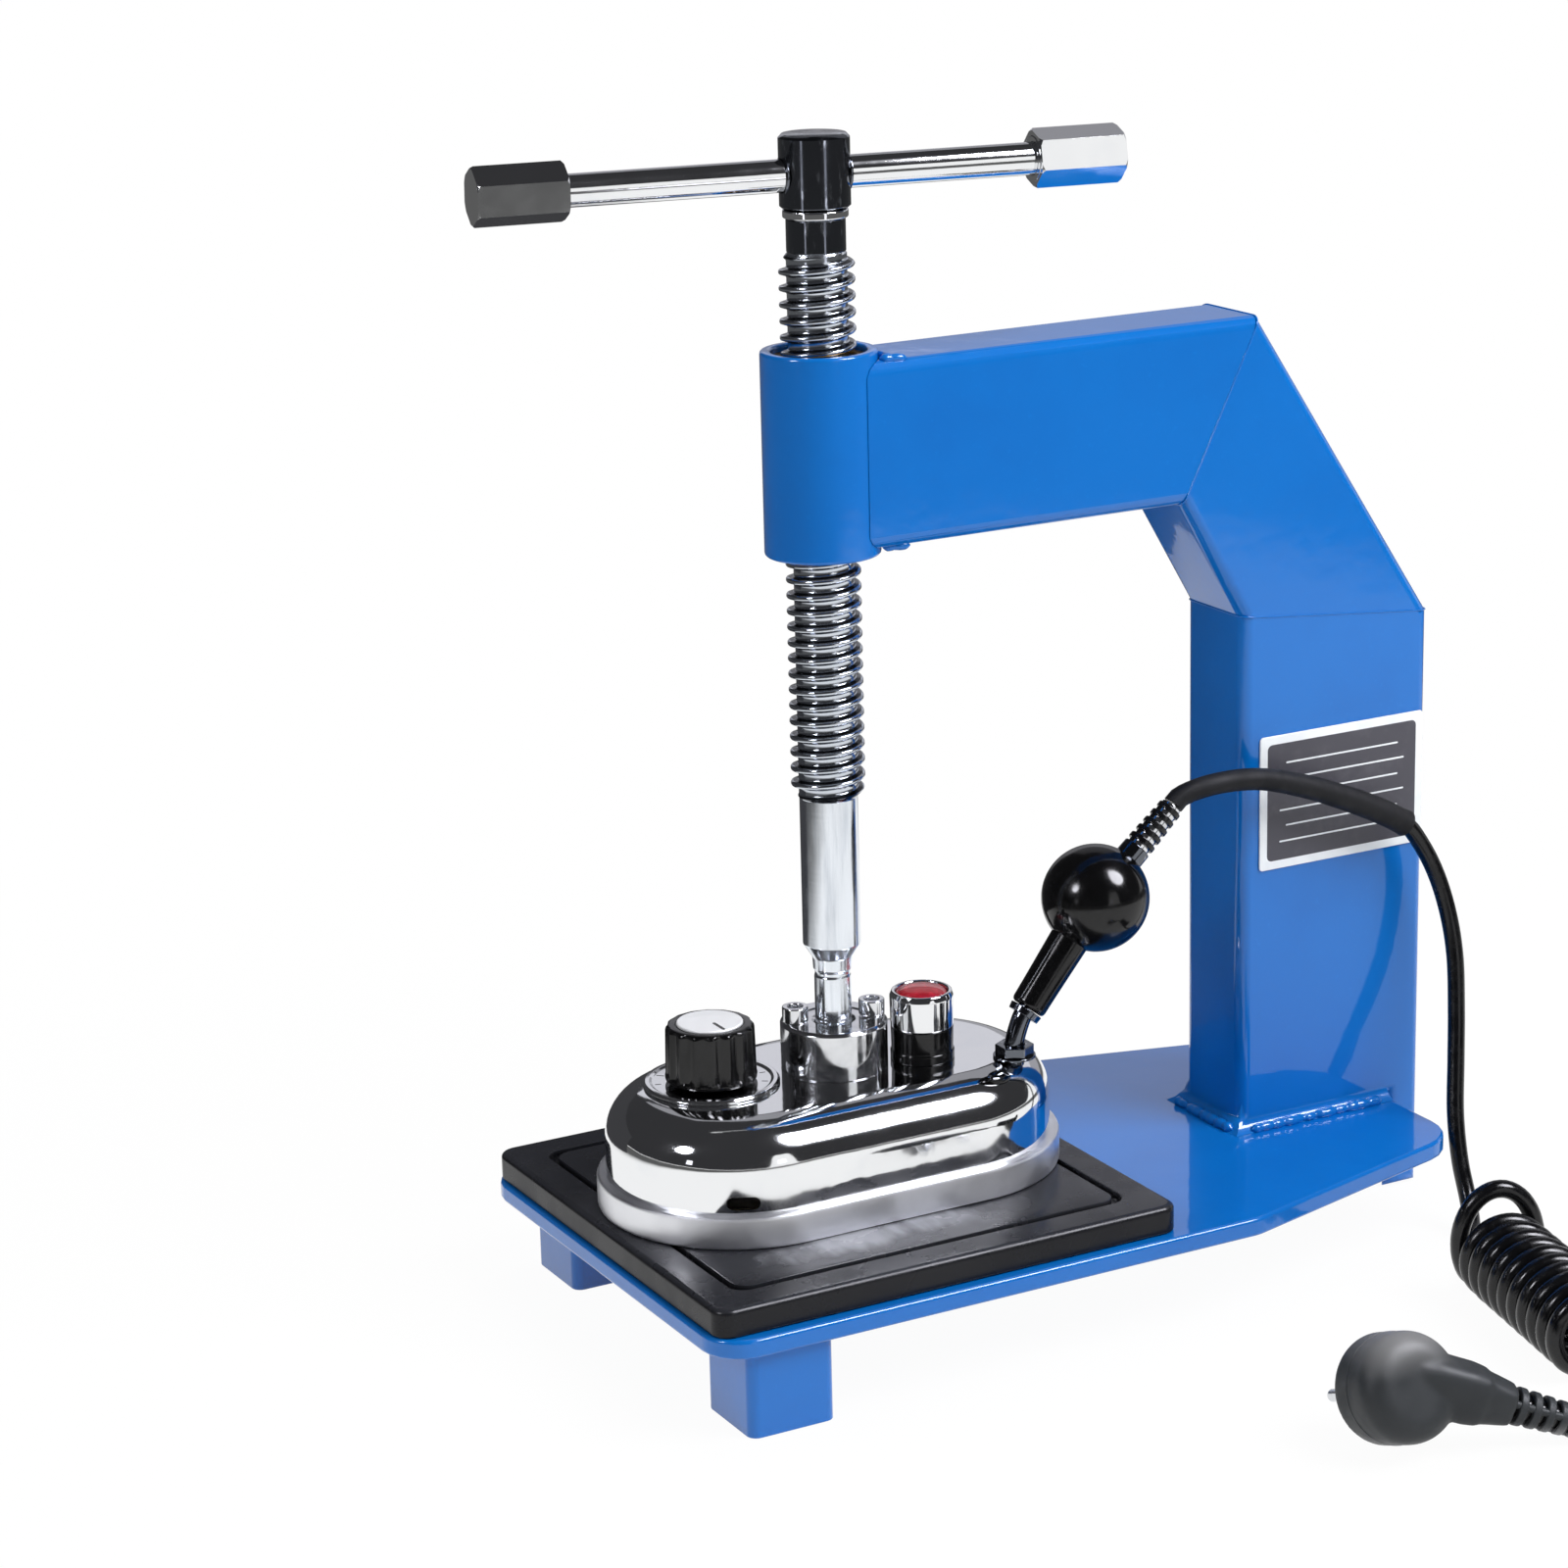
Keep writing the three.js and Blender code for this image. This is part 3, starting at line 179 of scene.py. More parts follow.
# The photograph's camera, in degrees, with its distance in metres
CAMERA_AZIMUTH = -28.0525
CAMERA_ELEVATION = 16.0520
CAMERA_ROLL = -1.47996
CAMERA_AIM = Vector((-18.791, 0, 170.464))
CAMERA_DISTANCE = 1.517148

# The studio, in metres
STUDIO_MIDDLE = Vector((-0.06, 0, 0.18))
TABLE_MIDDLE = (0.2, -0.4, 0)
WORLD_STRENGTH = 0.42


def at(point):
    """A point in millimetres about the screw's axis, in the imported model's frame in metres."""
    return (Vector(point) + SHIFT) / 1000


def polar(radius, angle, level=0.0):
    """A point at a distance and an angle about an upright axis."""
    return Vector((radius * math.cos(angle), radius * math.sin(angle), level))


def direction(azimuth, elevation):
    """The way to a place round the machine, in degrees: 0 is in front and 90 on the right."""
    azimuth, elevation = math.radians(azimuth), math.radians(elevation)
    flat = math.cos(elevation)
    return Vector((math.sin(azimuth) * flat, -math.cos(azimuth) * flat, math.sin(elevation)))


def smoothstep(value, low, high):
    """0 up to the low value, 1 from the high one on, and a smooth rise between them."""
    share = min(1, max(0, (value - low) / (high - low)))
    return share * share * (3 - 2 * share)


BAR_WAY = polar(1, BAR_TURN)


def placed(name, data):
    """An object in the scene with this data."""
    obj = bpy.data.objects.new(name, data)
    bpy.context.scene.collection.objects.link(obj)
    return obj


# Camera
def make_camera():
    roll = math.radians(CAMERA_ROLL)
    away = direction(CAMERA_AZIMUTH, CAMERA_ELEVATION)
    right = (-away).cross(Vector((0, 0, 1))).normalized()
    up = right.cross(-away)
    rolled_right = right * math.cos(roll) + up * math.sin(roll)
    rolled_up = up * math.cos(roll) - right * math.sin(roll)
    place = at(CAMERA_AIM) + away * CAMERA_DISTANCE
    data = bpy.data.cameras.new("camera")
    data.lens = 93.59
    data.sensor_width = 36
    data.clip_start = 0.05
    data.clip_end = 50
    camera = placed("camera", data)
    turn = Matrix((rolled_right, rolled_up, away)).transposed()
    camera.matrix_world = Matrix.Translation(place) @ turn.to_4x4()
    bpy.context.scene.camera = camera


make_camera()


# Mesh building
def smooth_faces(mesh):
    mesh.polygons.foreach_set("use_smooth", [True] * len(mesh.polygons))


def new_object(name, points, faces, thinnest=1e-7, merged=True):
    """A mesh object from points in millimetres, with its faces turned outwards."""
    mesh = bpy.data.meshes.new(name)
    mesh.from_pydata([tuple(at(p)) for p in points], [], faces)
    work = bmesh.new()
    work.from_mesh(mesh)
    if merged:
        bmesh.ops.remove_doubles(work, verts=work.verts, dist=thinnest)
    bmesh.ops.dissolve_degenerate(work, edges=work.edges, dist=thinnest)
    bmesh.ops.recalc_face_normals(work, faces=work.faces)
    work.to_mesh(mesh)
    work.free()
    smooth_faces(mesh)
    return placed(name, mesh)


def weighted(obj, angle=40, weight=60):
    """Sharp edges where the surface turns a corner, and flat faces that stay flat beside rounded ones."""
    obj.data.set_sharp_from_angle(angle=math.radians(angle))
    even = obj.modifiers.new("even shading", "WEIGHTED_NORMAL")
    even.keep_sharp = True
    even.weight = weight
    return obj


def rounded(obj, width, steps, angle):
    """Rounds the edges that turn by more than an angle."""
    rounding = obj.modifiers.new("rounded edges", "BEVEL")
    rounding.width = width / 1000
    rounding.segments = steps
    rounding.limit_method = "ANGLE"
    rounding.angle_limit = math.radians(angle)
    return rounding


def softened(section, radius):
    """A section with its corners rounded. A section whose ends meet is a ring's."""
    loop = section[0] == section[-1]
    points = [Vector(p) for p in (section[:-1] if loop else section)]
    made = []
    for i, corner in enumerate(points):
        back = points[i - 1] - corner
        on = points[(i + 1) % len(points)] - corner
        end_point = not loop and i in (0, len(points) - 1)
        if radius <= 0 or end_point or math.degrees(back.angle(on)) > 165:
            made.append(corner)
            continue
        start = corner + back.normalized() * min(radius, back.length * 0.45)
        end = corner + on.normalized() * min(radius, on.length * 0.45)
        for share in (0, 1 / 3, 2 / 3, 1):
            made.append(start.lerp(corner, share).lerp(corner.lerp(end, share), share))
    if loop:
        made.append(made[0])
    return made


def aimed(points, start, towards):
    """Points made along +Z, turned to start at one point and run towards another."""
    way = (Vector(towards) - Vector(start)).normalized()
    turn = Vector((0, 0, 1)).rotation_difference(way)
    return [turn @ Vector(p) + Vector(start) for p in points]


def lathe(name, section, segments, radius, along=None, place=(0, 0, 0)):
    """A turned piece from its half section of radius and height, with softened corners."""
    loop = section[0] == section[-1]
    profile = softened(section, radius)
    points = []
    rings = []
    for r, z in profile[:-1] if loop else profile:
        if r < 1e-6:
            rings.append([len(points)])
            points.append(Vector((0, 0, z)))
            continue
        rings.append(list(range(len(points), len(points) + segments)))
        points += [polar(r, math.tau * i / segments, z) for i in range(segments)]
    if loop:
        rings.append(rings[0])
    faces = []
    for low, high in zip(rings, rings[1:]):
        for i in range(segments):
            j = (i + 1) % segments
            corners = [low[i % len(low)], low[j % len(low)], high[j % len(high)], high[i % len(high)]]
            face = list(dict.fromkeys(corners))
            if len(face) > 2:
                faces.append(face)
    if along:
        points = aimed(points, *along)
    return weighted(new_object(name, [p + Vector(place) for p in points], faces))


def pipe(inner, outer, low, high):
    """The section of a ring."""
    return [(inner, low), (outer, low), (outer, high), (inner, high), (inner, low)]


def band(a, b, count, closed=True):
    """The faces between two rings of points that start at a and at b."""
    steps = count if closed else count - 1
    return [[a + i, a + (i + 1) % count, b + (i + 1) % count, b + i] for i in range(steps)]


def loft(name, rings, angle=40):
    """A capped skin over rings with the same number of points each."""
    count = len(rings[0])
    last = (len(rings) - 1) * count
    faces = []
    for start in range(0, last, count):
        faces += band(start, start + count, count)
    faces.append(list(range(count))[::-1])
    faces.append(list(range(last, last + count)))
    return weighted(new_object(name, [p for ring in rings for p in ring], faces), angle)


def smooth_route(points, spacing):
    """A smooth curve through points, sampled at an even spacing along each stretch."""
    ends = [points[0] * 2 - points[1], *points, points[-1] * 2 - points[-2]]
    route = []
    for i in range(1, len(ends) - 2):
        before, a, b, after = ends[i - 1 : i + 3]
        gaps = [math.sqrt((q - p).length) for p, q in ((before, a), (a, b), (b, after))]
        first = (a - before) / gaps[0] - (b - before) / (gaps[0] + gaps[1]) + (b - a) / gaps[1]
        last = (b - a) / gaps[1] - (after - a) / (gaps[1] + gaps[2]) + (after - b) / gaps[2]
        first *= gaps[1]
        last *= gaps[1]
        steps = max(1, round((b - a).length / spacing))
        for step in range(steps):
            t = step / steps
            curve = a * (2 * t**3 - 3 * t**2 + 1) + first * (t**3 - 2 * t**2 + t)
            route.append(curve + b * (3 * t**2 - 2 * t**3) + last * (t**3 - t**2))
    route.append(points[-1])
    return route


def route_length(route):
    return sum((b - a).length for a, b in zip(route, route[1:]))


def frames_along(route):
    """For each point of a route, two directions across it that turn as little as they can."""
    ways = []
    for i in range(len(route)):
        ways.append((route[min(i + 1, len(route) - 1)] - route[max(i - 1, 0)]).normalized())
    side = ways[0].orthogonal().normalized()
    frames = []
    for i, way in enumerate(ways):
        if i:
            side = ways[i - 1].rotation_difference(way) @ side
        side = (side - way * side.dot(way)).normalized()
        frames.append((side, way.cross(side)))
    return frames


def tube(name, route, radius, sides):
    """A closed tube along a route. Radius is a number, or a function of the share of the way along."""
    rings = []
    last = len(route) - 1
    for i, (point, (side, across)) in enumerate(zip(route, frames_along(route))):
        size = radius(i / last) if callable(radius) else radius
        spokes = [polar(size, math.tau * k / sides) for k in range(sides)]
        rings.append([point + side * spoke.x + across * spoke.y for spoke in spokes])
    return loft(name, rings, angle=60)


def dressed(node, bevel=0.0, steps=3, angle=30):
    """A copy of a CAD node with its flat faces whole again and its sharp edges rounded."""
    source = frame["nodes"][node]
    mesh = source.data.copy()
    work = bmesh.new()
    work.from_mesh(mesh)
    bmesh.ops.remove_doubles(work, verts=work.verts, dist=1e-6)
    bmesh.ops.dissolve_limit(work, angle_limit=math.radians(0.4), verts=work.verts, edges=work.edges)
    work.to_mesh(mesh)
    work.free()
    mesh.materials.clear()
    smooth_faces(mesh)
    obj = placed(node + ".surface", mesh)
    obj.matrix_world = source.matrix_world.copy()
    if bevel > 0:
        rounding = rounded(obj, bevel, steps, angle)
        rounding.use_clamp_overlap = True
        rounding.miter_outer = "MITER_ARC"
    return weighted(obj, 70 if bevel > 0 else 40, 50)


def bake(obj):
    """The object's modifiers made part of its mesh."""
    graph = bpy.context.evaluated_depsgraph_get()
    mesh = bpy.data.meshes.new_from_object(obj.evaluated_get(graph))
    obj.modifiers.clear()
    obj.data = mesh
    return obj


def carved(obj, tool, operation="DIFFERENCE"):
    """The object cut by, joined to or limited to another, which is then gone."""
    cut = obj.modifiers.new("carve", "BOOLEAN")
    cut.operation = operation
    cut.solver = "EXACT"
    cut.object = tool
    bpy.context.view_layer.update()
    bake(obj)
    bpy.data.objects.remove(tool)
    return obj


# Materials
def add_node(tree, kind, inputs=None, **settings):
    """A shader node with its settings. Each input is a value, or the output that feeds it."""
    node = tree.nodes.new("ShaderNode" + kind)
    for name, value in settings.items():
        setattr(node, name, value)
    for name, value in (inputs or {}).items():
        if isinstance(value, bpy.types.NodeSocket):
            tree.links.new(value, node.inputs[name])
        else:
            node.inputs[name].default_value = value
    return node


def maths(tree, operation, one, other):
    return add_node(tree, "Math", {0: one, 1: other}, operation=operation).outputs[0]


def ramp(tree, source, low, high, start, end):
    """Values from low to high as the source goes from start to end."""
    inputs = {"From Min": start, "From Max": end, "To Min": low, "To Max": high, "Value": source}
    return add_node(tree, "MapRange", inputs, interpolation_type="SMOOTHSTEP").outputs["Result"]


def colour(red, green, blue):
    """A colour as it is seen, from 0 to 255, as the linear colour that a shader takes."""
    def linear(value):
        value /= 255
        return value / 12.92 if value <= 0.04045 else ((value + 0.055) / 1.055) ** 2.4
    return (linear(red), linear(green), linear(blue), 1)


FINISH = {}


class Finish:
    """A material with a shader, and the nodes that vary its colour, roughness and surface.

    A source is a node's output, or a noise's scale, detail and stretch. A tint is a source, a colour,
    where the mix starts and ends, and its amount. A mottle is a source with the lowest and highest
    roughness. A bump is a source, a depth in millimetres, a strength, and True where the coat follows it.
    """

    def __init__(self, key, slot, name, base, rough, metal=0.0, tints=(), mottle=None, bumps=(), **sockets):
        material = bpy.data.materials.new(name)
        material.use_nodes = True
        self.tree = material.node_tree
        self.shader = self.tree.nodes["Principled BSDF"]
        self.base = base
        for socket, value in {"Base_Color": base, "Roughness": rough, "Metallic": metal, **sockets}.items():
            self.shader.inputs[socket.replace("_", " ")].default_value = value
        self.coordinates = add_node(self.tree, "TexCoord").outputs["Object"]
        self.bumped = None
        for tint in tints:
            self.tinted(*tint)
        if mottle:
            source, low, high = mottle
            self.feed("Roughness", ramp(self.tree, self.output(source), low, high, 0.3, 0.7))
        for bump in bumps:
            self.bump(*bump)
        FINISH[key] = material

    def feed(self, socket, output):
        self.tree.links.new(output, self.shader.inputs[socket])

    def noise(self, scale, detail, stretch=None):
        """Noise that runs slower or faster along each axis by its stretch."""
        place = self.coordinates
        if stretch:
            place = add_node(self.tree, "Mapping", {"Scale": stretch, "Vector": place}).outputs["Vector"]
        inputs = {"Scale": scale, "Detail": detail, "Roughness": 0.55, "Vector": place}
        return add_node(self.tree, "TexNoise", inputs).outputs["Fac"]

    def output(self, source):
        return self.noise(*source) if isinstance(source, tuple) else source

    def waves(self, direction):
        inputs = {"Scale": 420, "Distortion": 0.0, "Detail": 2.0, "Vector": self.coordinates}
        return add_node(self.tree, "TexWave", inputs, bands_direction=direction).outputs["Fac"]

    def axis(self, name):
        """The place along an axis, in metres."""
        return add_node(self.tree, "SeparateXYZ", {0: self.coordinates}).outputs[name]

    def between(self, name, start, end, low=0, high=1):
        """Values from low to high between two places along an axis."""
        return ramp(self.tree, self.axis(name), low, high, start, end)

    def reach(self, x, y, start, end, low=0, high=1):
        """Values from low to high between two distances from an upright line, in metres."""
        less = add_node(self.tree, "VectorMath", {0: self.coordinates, 1: (x, y, 0)}, operation="SUBTRACT")
        flat = add_node(self.tree, "VectorMath", {0: less.outputs[0], 1: (1, 1, 0)}, operation="MULTIPLY")
        length = add_node(self.tree, "VectorMath", {0: flat.outputs[0]}, operation="LENGTH")
        return ramp(self.tree, length.outputs["Value"], low, high, start, end)

    def tinted(self, source, other, start, end, amount):
        """Mixes another colour into what the shader has so far where the source is high."""
        socket = self.shader.inputs["Base Color"]
        so_far = socket.links[0].from_socket if socket.is_linked else self.base
        share = ramp(self.tree, self.output(source), 0.0, amount, start, end)
        mix = add_node(self.tree, "Mix", {0: share, 6: so_far, 7: other}, data_type="RGBA")
        self.feed("Base Color", mix.outputs[2])

    def bump(self, source, depth, strength, coat=False):
        """Raises the surface by the source, and the coat with it where there is one."""
        inputs = {"Strength": strength, "Distance": depth / 1000, "Height": self.output(source)}
        if self.bumped is not None:
            inputs["Normal"] = self.bumped
        self.bumped = add_node(self.tree, "Bump", inputs).outputs["Normal"]
        self.feed("Normal", self.bumped)
        if coat:
            self.feed("Coat Normal", self.bumped)


def make_metals():
    Finish(
        "chrome", "chrome", "chrome_plate", (0.86, 0.87, 0.88, 1), 0.05, 1.0,
        tints=[((60, 4), (0.78, 0.8, 0.83, 1), 0.5, 0.8, 0.5)],
        mottle=((38, 5), 0.035, 0.1),
        bumps=[((30, 3), 0.35, 0.6)],
    )
    # Painted reflection: darker streaks that run up the zinc stand in for upright bands that the shaft
    # mirrors
    Finish(
        "zinc", "steel", "zinc_plate", (0.84, 0.88, 0.93, 1), 0.2, 1.0,
        tints=[((240, 4, (1, 1, 0.06)), (0.5, 0.55, 0.62, 1), 0.5, 0.75, 0.6)],
        mottle=((160, 4, (1, 1, 0.25)), 0.12, 0.26),
        bumps=[((700, 3, (0.05, 0.05, 1)), 0.02, 0.4)],
    )
    Finish(
        "steel", "steel", "bright_steel", (0.74, 0.75, 0.77, 1), 0.1, 1.0,
        tints=[((70, 4), (0.52, 0.54, 0.57, 1), 0.5, 0.8, 0.6)],
        mottle=((220, 4), 0.06, 0.16),
        bumps=[((60, 2), 0.06, 0.4)],
    )
    thread = Finish(
        "thread", "steel", "thread_plate", (0.62, 0.66, 0.72, 1), 0.16, 1.0,
        mottle=((160, 4), 0.08, 0.22),
        bumps=[((500, 3), 0.02, 0.4)],
    )
    # Painted shade: the thread's flanks are darker than its crest and its root
    axis = SHIFT / 1000
    rising = thread.reach(axis.x, axis.y, 0.0112, 0.0118)
    falling = thread.reach(axis.x, axis.y, 0.0126, 0.0134, 1, 0)
    thread.tinted(maths(thread.tree, "MULTIPLY", rising, falling), (0.03, 0.032, 0.038, 1), 0.1, 0.6, 0.95)
    # Painted reflection: pale streaks that run up the black chrome stand in for bright upright things that
    # it mirrors
    Finish(
        "black_chrome", "black_chrome", "black_chrome", (0.13, 0.14, 0.16, 1), 0.08, 1.0,
        tints=[((300, 5, (1, 1, 0.3)), (0.55, 0.58, 0.64, 1), 0.58, 0.72, 0.9)],
        mottle=((120, 5), 0.05, 0.16),
        bumps=[((300, 3), 0.02, 0.35)],
    )
    Finish(
        "aluminium", "heater_aluminium", "satin_aluminium", (0.88, 0.89, 0.92, 1), 0.4, 1.0,
        tints=[((24, 5), (0.72, 0.74, 0.78, 1), 0.5, 0.8, 0.6)],
        mottle=((60, 5), 0.34, 0.5),
        bumps=[((900, 2, (0.03, 0.03, 1)), 0.015, 0.5), ((45, 3), 0.1, 0.25)],
    )
    Finish(
        "silver", "heater_aluminium", "silver_disc", (0.82, 0.83, 0.86, 1), 0.5, 0.3,
        mottle=((300, 3), 0.42, 0.58),
    )
    Finish(
        "bronze", "bronze", "nut_bronze", colour(168, 129, 63), 0.35, 1.0,
        tints=[((150, 4), colour(120, 92, 48), 0.45, 0.75, 0.8)],
        bumps=[((900, 2, (0.05, 0.05, 1)), 0.02, 0.5)],
    )


def make_pad_rubber():
    pad = Finish(
        "pad", "pad_rubber", "pad_rubber", colour(38, 39, 44), 0.26, Specular_IOR_Level=0.22,
        tints=[((16, 5), colour(52, 53, 59), 0.45, 0.75, 0.8)],
        mottle=((45, 4), 0.2, 0.34),
        bumps=[((900, 3), 0.02, 0.4), ((50, 3), 0.2, 0.3)],
    )
    # A painted reflection of the heater: pale in a strip in front of it
    painted_reflection = pad.noise(34, 4, (1, 0.35, 1))
    for name, start, end, low, high in (
        ("Y", -0.092, -0.062, 0, 1), ("X", -0.17, -0.11, 0, 1), ("X", -0.06, 0, 1, 0),
        ("Y", -0.058, -0.038, 1, 0),
    ):
        painted_reflection = maths(pad.tree, "MULTIPLY", painted_reflection, pad.between(name, start, end, low, high))
    pad.tinted(painted_reflection, colour(160, 162, 170), 0.34, 0.6, 0.75)
    # Painted shade: dark inside the incised line
    pad.tinted(pad.between("Z", 0.0494, 0.0508, 1, 0), colour(20, 20, 23), 0, 1, 0.85)


def make_plastics():
    Finish(
        "paint", "paint", "blue_enamel", colour(3, 104, 188), 0.3,
        tints=[
            ((14, 3), colour(3, 94, 176), 0.4, 0.75, 0.5),
            ((420, 2), colour(12, 116, 202), 0.62, 0.8, 0.25),
        ],
        bumps=[((55, 2), 0.22, 0.5, True), ((260, 3), 0.04, 0.5, True)],
        Specular_IOR_Level=0.1, Coat_Weight=0.95, Coat_Roughness=0.04,
    )
    Finish(
        "gloss_black", "black_plastic", "gloss_black", colour(9, 9, 10), 0.12, Specular_IOR_Level=0.42,
        tints=[((90, 4), colour(20, 20, 22), 0.5, 0.8, 0.7)],
        mottle=((140, 4), 0.08, 0.2),
        bumps=[((240, 3), 0.02, 0.35)],
    )
    Finish(
        "cord", "cord_rubber", "cord_rubber", colour(9, 9, 11), 0.2, Specular_IOR_Level=0.4,
        tints=[((70, 4), colour(20, 21, 24), 0.5, 0.8, 0.7)],
        mottle=((200, 4), 0.14, 0.32),
        bumps=[((420, 3), 0.04, 0.4)],
    )
    Finish(
        "sleeve", "cord_rubber", "sleeve_rubber", colour(10, 11, 15), 0.46, Specular_IOR_Level=0.3,
        tints=[((60, 4), colour(24, 25, 30), 0.5, 0.8, 0.7)],
        mottle=((120, 4), 0.5, 0.72),
        bumps=[((520, 4), 0.08, 0.55)],
    )
    grey = Finish(
        "grey", "grey_plastic", "plug_grey", colour(42, 45, 48), 0.5, Specular_IOR_Level=0.3,
        tints=[((40, 4), colour(36, 39, 42), 0.45, 0.75, 0.8)],
        mottle=((120, 4), 0.42, 0.58),
        bumps=[((1100, 3), 0.03, 0.55)],
    )
    # Painted light: the plug is paler on top, where the light falls, and near the floor, where the floor's
    # bounce lights it
    grey.tinted(grey.axis("Z"), colour(122, 122, 124), 0.031, 0.046, 0.9)
    grey.tinted(grey.between("Z", 0.001, 0.012, 1, 0), colour(128, 128, 130), 0, 1, 0.9)
    lens = Finish(
        "lens", "red_lens", "red_lens", colour(150, 14, 30), 0.12, Coat_Weight=1.0, Coat_Roughness=0.03,
        tints=[((260, 2), colour(205, 40, 60), 0.5, 0.75, 0.6)],
    )
    lens.bump(lens.waves("X"), 0.12, 0.5)
    lens.bump(lens.waves("Y"), 0.12, 0.5)
    Finish(
        "label_white", "label", "label_white", colour(232, 236, 240), 0.38,
        tints=[((80, 4), colour(214, 220, 228), 0.45, 0.8, 0.7)],
        bumps=[((600, 2), 0.02, 0.4)],
    )
    Finish(
        "label_panel", "label", "label_panel", colour(70, 69, 78), 0.42,
        tints=[((120, 4), colour(86, 85, 94), 0.45, 0.8, 0.7)],
        bumps=[((900, 2), 0.02, 0.4)],
    )
    Finish(
        "board", "board", "fibre_board", colour(185, 174, 150), 0.85,
        tints=[((300, 5), colour(150, 138, 116), 0.4, 0.7, 0.9)],
        bumps=[((600, 5), 0.1, 0.6)],
    )


make_metals()
make_pad_rubber()
make_plastics()


def finished(obj, finish, body, *nodes):
    """Gives a piece its material and its body, and hides the CAD nodes that it stands for."""
    obj.data.materials.clear()
    obj.data.materials.append(FINISH[finish])
    if body:
        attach(obj, body)
    if nodes:
        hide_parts(*nodes)
    return obj


def turned(name, section, segments, radius, finish, body, *nodes, along=None, place=(0, 0, 0)):
    """A finished piece from the lathe."""
    return finished(lathe(name, section, segments, radius, along, place), finish, body, *nodes)


# Cord
def coil_route():
    """The coil's centre line, its direction, and the direction in which the cord arrives at it."""
    along = polar(1, math.radians(COIL_HEADING))
    side = Vector((along.y, -along.x, 0))
    wound = math.atan2(math.tau * COIL_RADIUS, COIL_PITCH)
    lead = math.radians(COIL_LEAD_ANGLE)
    count = COIL_TURNS * COIL_STEPS + COIL_LEAD_STEPS
    slopes = []
    for i in range(count):
        lead_in = smoothstep(i, 0, COIL_LEAD_STEPS)
        lead_out = smoothstep(count - 1 - i, 0, COIL_LEAD_STEPS)
        slopes.append((lead + (wound - lead) * lead_in) * lead_out)
    step = math.tau * COIL_TURNS * COIL_RADIUS / sum(math.sin(slope) for slope in slopes)
    points = [COIL_START]
    travelled = 0
    angle = 0
    for slope in slopes:
        travelled += step * math.cos(slope)
        angle += step * math.sin(slope) / COIL_RADIUS
        eye = 1 - smoothstep(angle, math.pi, math.tau * COIL_EYE_TURNS)
        height = COIL_RADIUS + COIL_EYE_RISE * eye
        point = COIL_START + along * travelled + side * (COIL_RADIUS * math.sin(angle))
        point.z += height * (1 - math.cos(angle))
        points.append(point)
    return points, along, along * math.cos(lead) + side * math.sin(lead)


def plug_relief_end():
    """Where the plug's strain relief ends and the cord comes out of it."""
    drop = PLUG_ARM_START.z - PLUG_RELIEF_LEVEL
    flat = math.sqrt(PLUG_REACH**2 - drop**2)
    return PLUG_ARM_START + polar(flat, math.radians(PLUG_ARM_HEADING), -drop)


def make_cord():
    way = (RELIEF_END - BALL_CENTRE).normalized()
    start = RELIEF_END + way * 0.3
    sleeve = [start, start + way * CORD_RADIUS, *[Vector(p) for p in SLEEVE_ROUTE]]
    coil, leaving, arriving = coil_route()
    tail_end = plug_relief_end()
    outward = (tail_end - PLUG_ARM_START).normalized()
    lead = CORD_RADIUS * 2
    points = [*sleeve, *[Vector(p) for p in CORD_ROUTE], coil[0] - arriving * lead]
    points += [*coil, coil[-1] + leaving * lead]
    points += [Vector((x, y, CORD_LEVEL)) for x, y in TAIL_ROUTE]
    points += [tail_end + outward * lead, tail_end + outward * 0.3]
    route = smooth_route(points, 2.2)

    def cord_size(share):
        """The cord's radius, kept inside the model's box where the tail bends outwards."""
        return min(CORD_RADIUS, route[round(share * (len(route) - 1))].y - TAIL_LIMIT)

    cord = finished(tube("cord_line", route, cord_size, 14), "cord", None)
    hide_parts("cord", "cord_coil", "cord_tail")

    def sleeve_size(share):
        """The sleeve's radius, thicker towards its roughly cut end."""
        rough_end = 0.25 * math.sin(share * 900) if share > 0.985 else 0
        return 4.15 + 1.0 * smoothstep(share, 0.05, 0.95) + rough_end

    cover = finished(tube("cord_sleeve", smooth_route(sleeve, 3), sleeve_size, 24), "sleeve", None)
    for piece in (cord, cover):
        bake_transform(piece)
    return cord, cover, route


CORD, SLEEVE, CORD_LINE = make_cord()


# Frame
def ring_of_rectangle(length, width, radius, level, x=0.0, steps=8):
    """A rectangle with rounded corners at one level, with its middle at x."""
    points = []
    for sign_x, sign_y, first in ((1, -1, -90), (1, 1, 0), (-1, 1, 90), (-1, -1, 180)):
        centre = Vector((x + sign_x * (length / 2 - radius), sign_y * (width / 2 - radius), level))
        for step in range(steps + 1):
            points.append(centre + polar(radius, math.radians(first + 90 * step / steps)))
    return points


def bead(name, points, radius, seed, lump, pitch):
    """A weld bead under paint, with a scale for each dab of the torch."""
    dice = random.Random(seed)
    route = smooth_route([Vector(p) for p in points], 0.8)
    dabs = 400
    shares = [dice.uniform(-1, 1) for _ in range(dabs)]
    total = route_length(route)

    def size(share):
        place = share * total / pitch
        dab = int(place)
        inside = place - dab
        wave = abs(math.sin(math.pi * inside)) ** 0.6
        change = shares[dab % dabs] * (1 - inside) + shares[(dab + 1) % dabs] * inside
        ends = min(1, share * total / radius + 0.2, (1 - share) * total / radius + 0.2)
        return radius * ends * (1 + lump * 0.5 * (wave + change - 1))

    return finished(tube(name, route, size, 10), "paint", "frame")


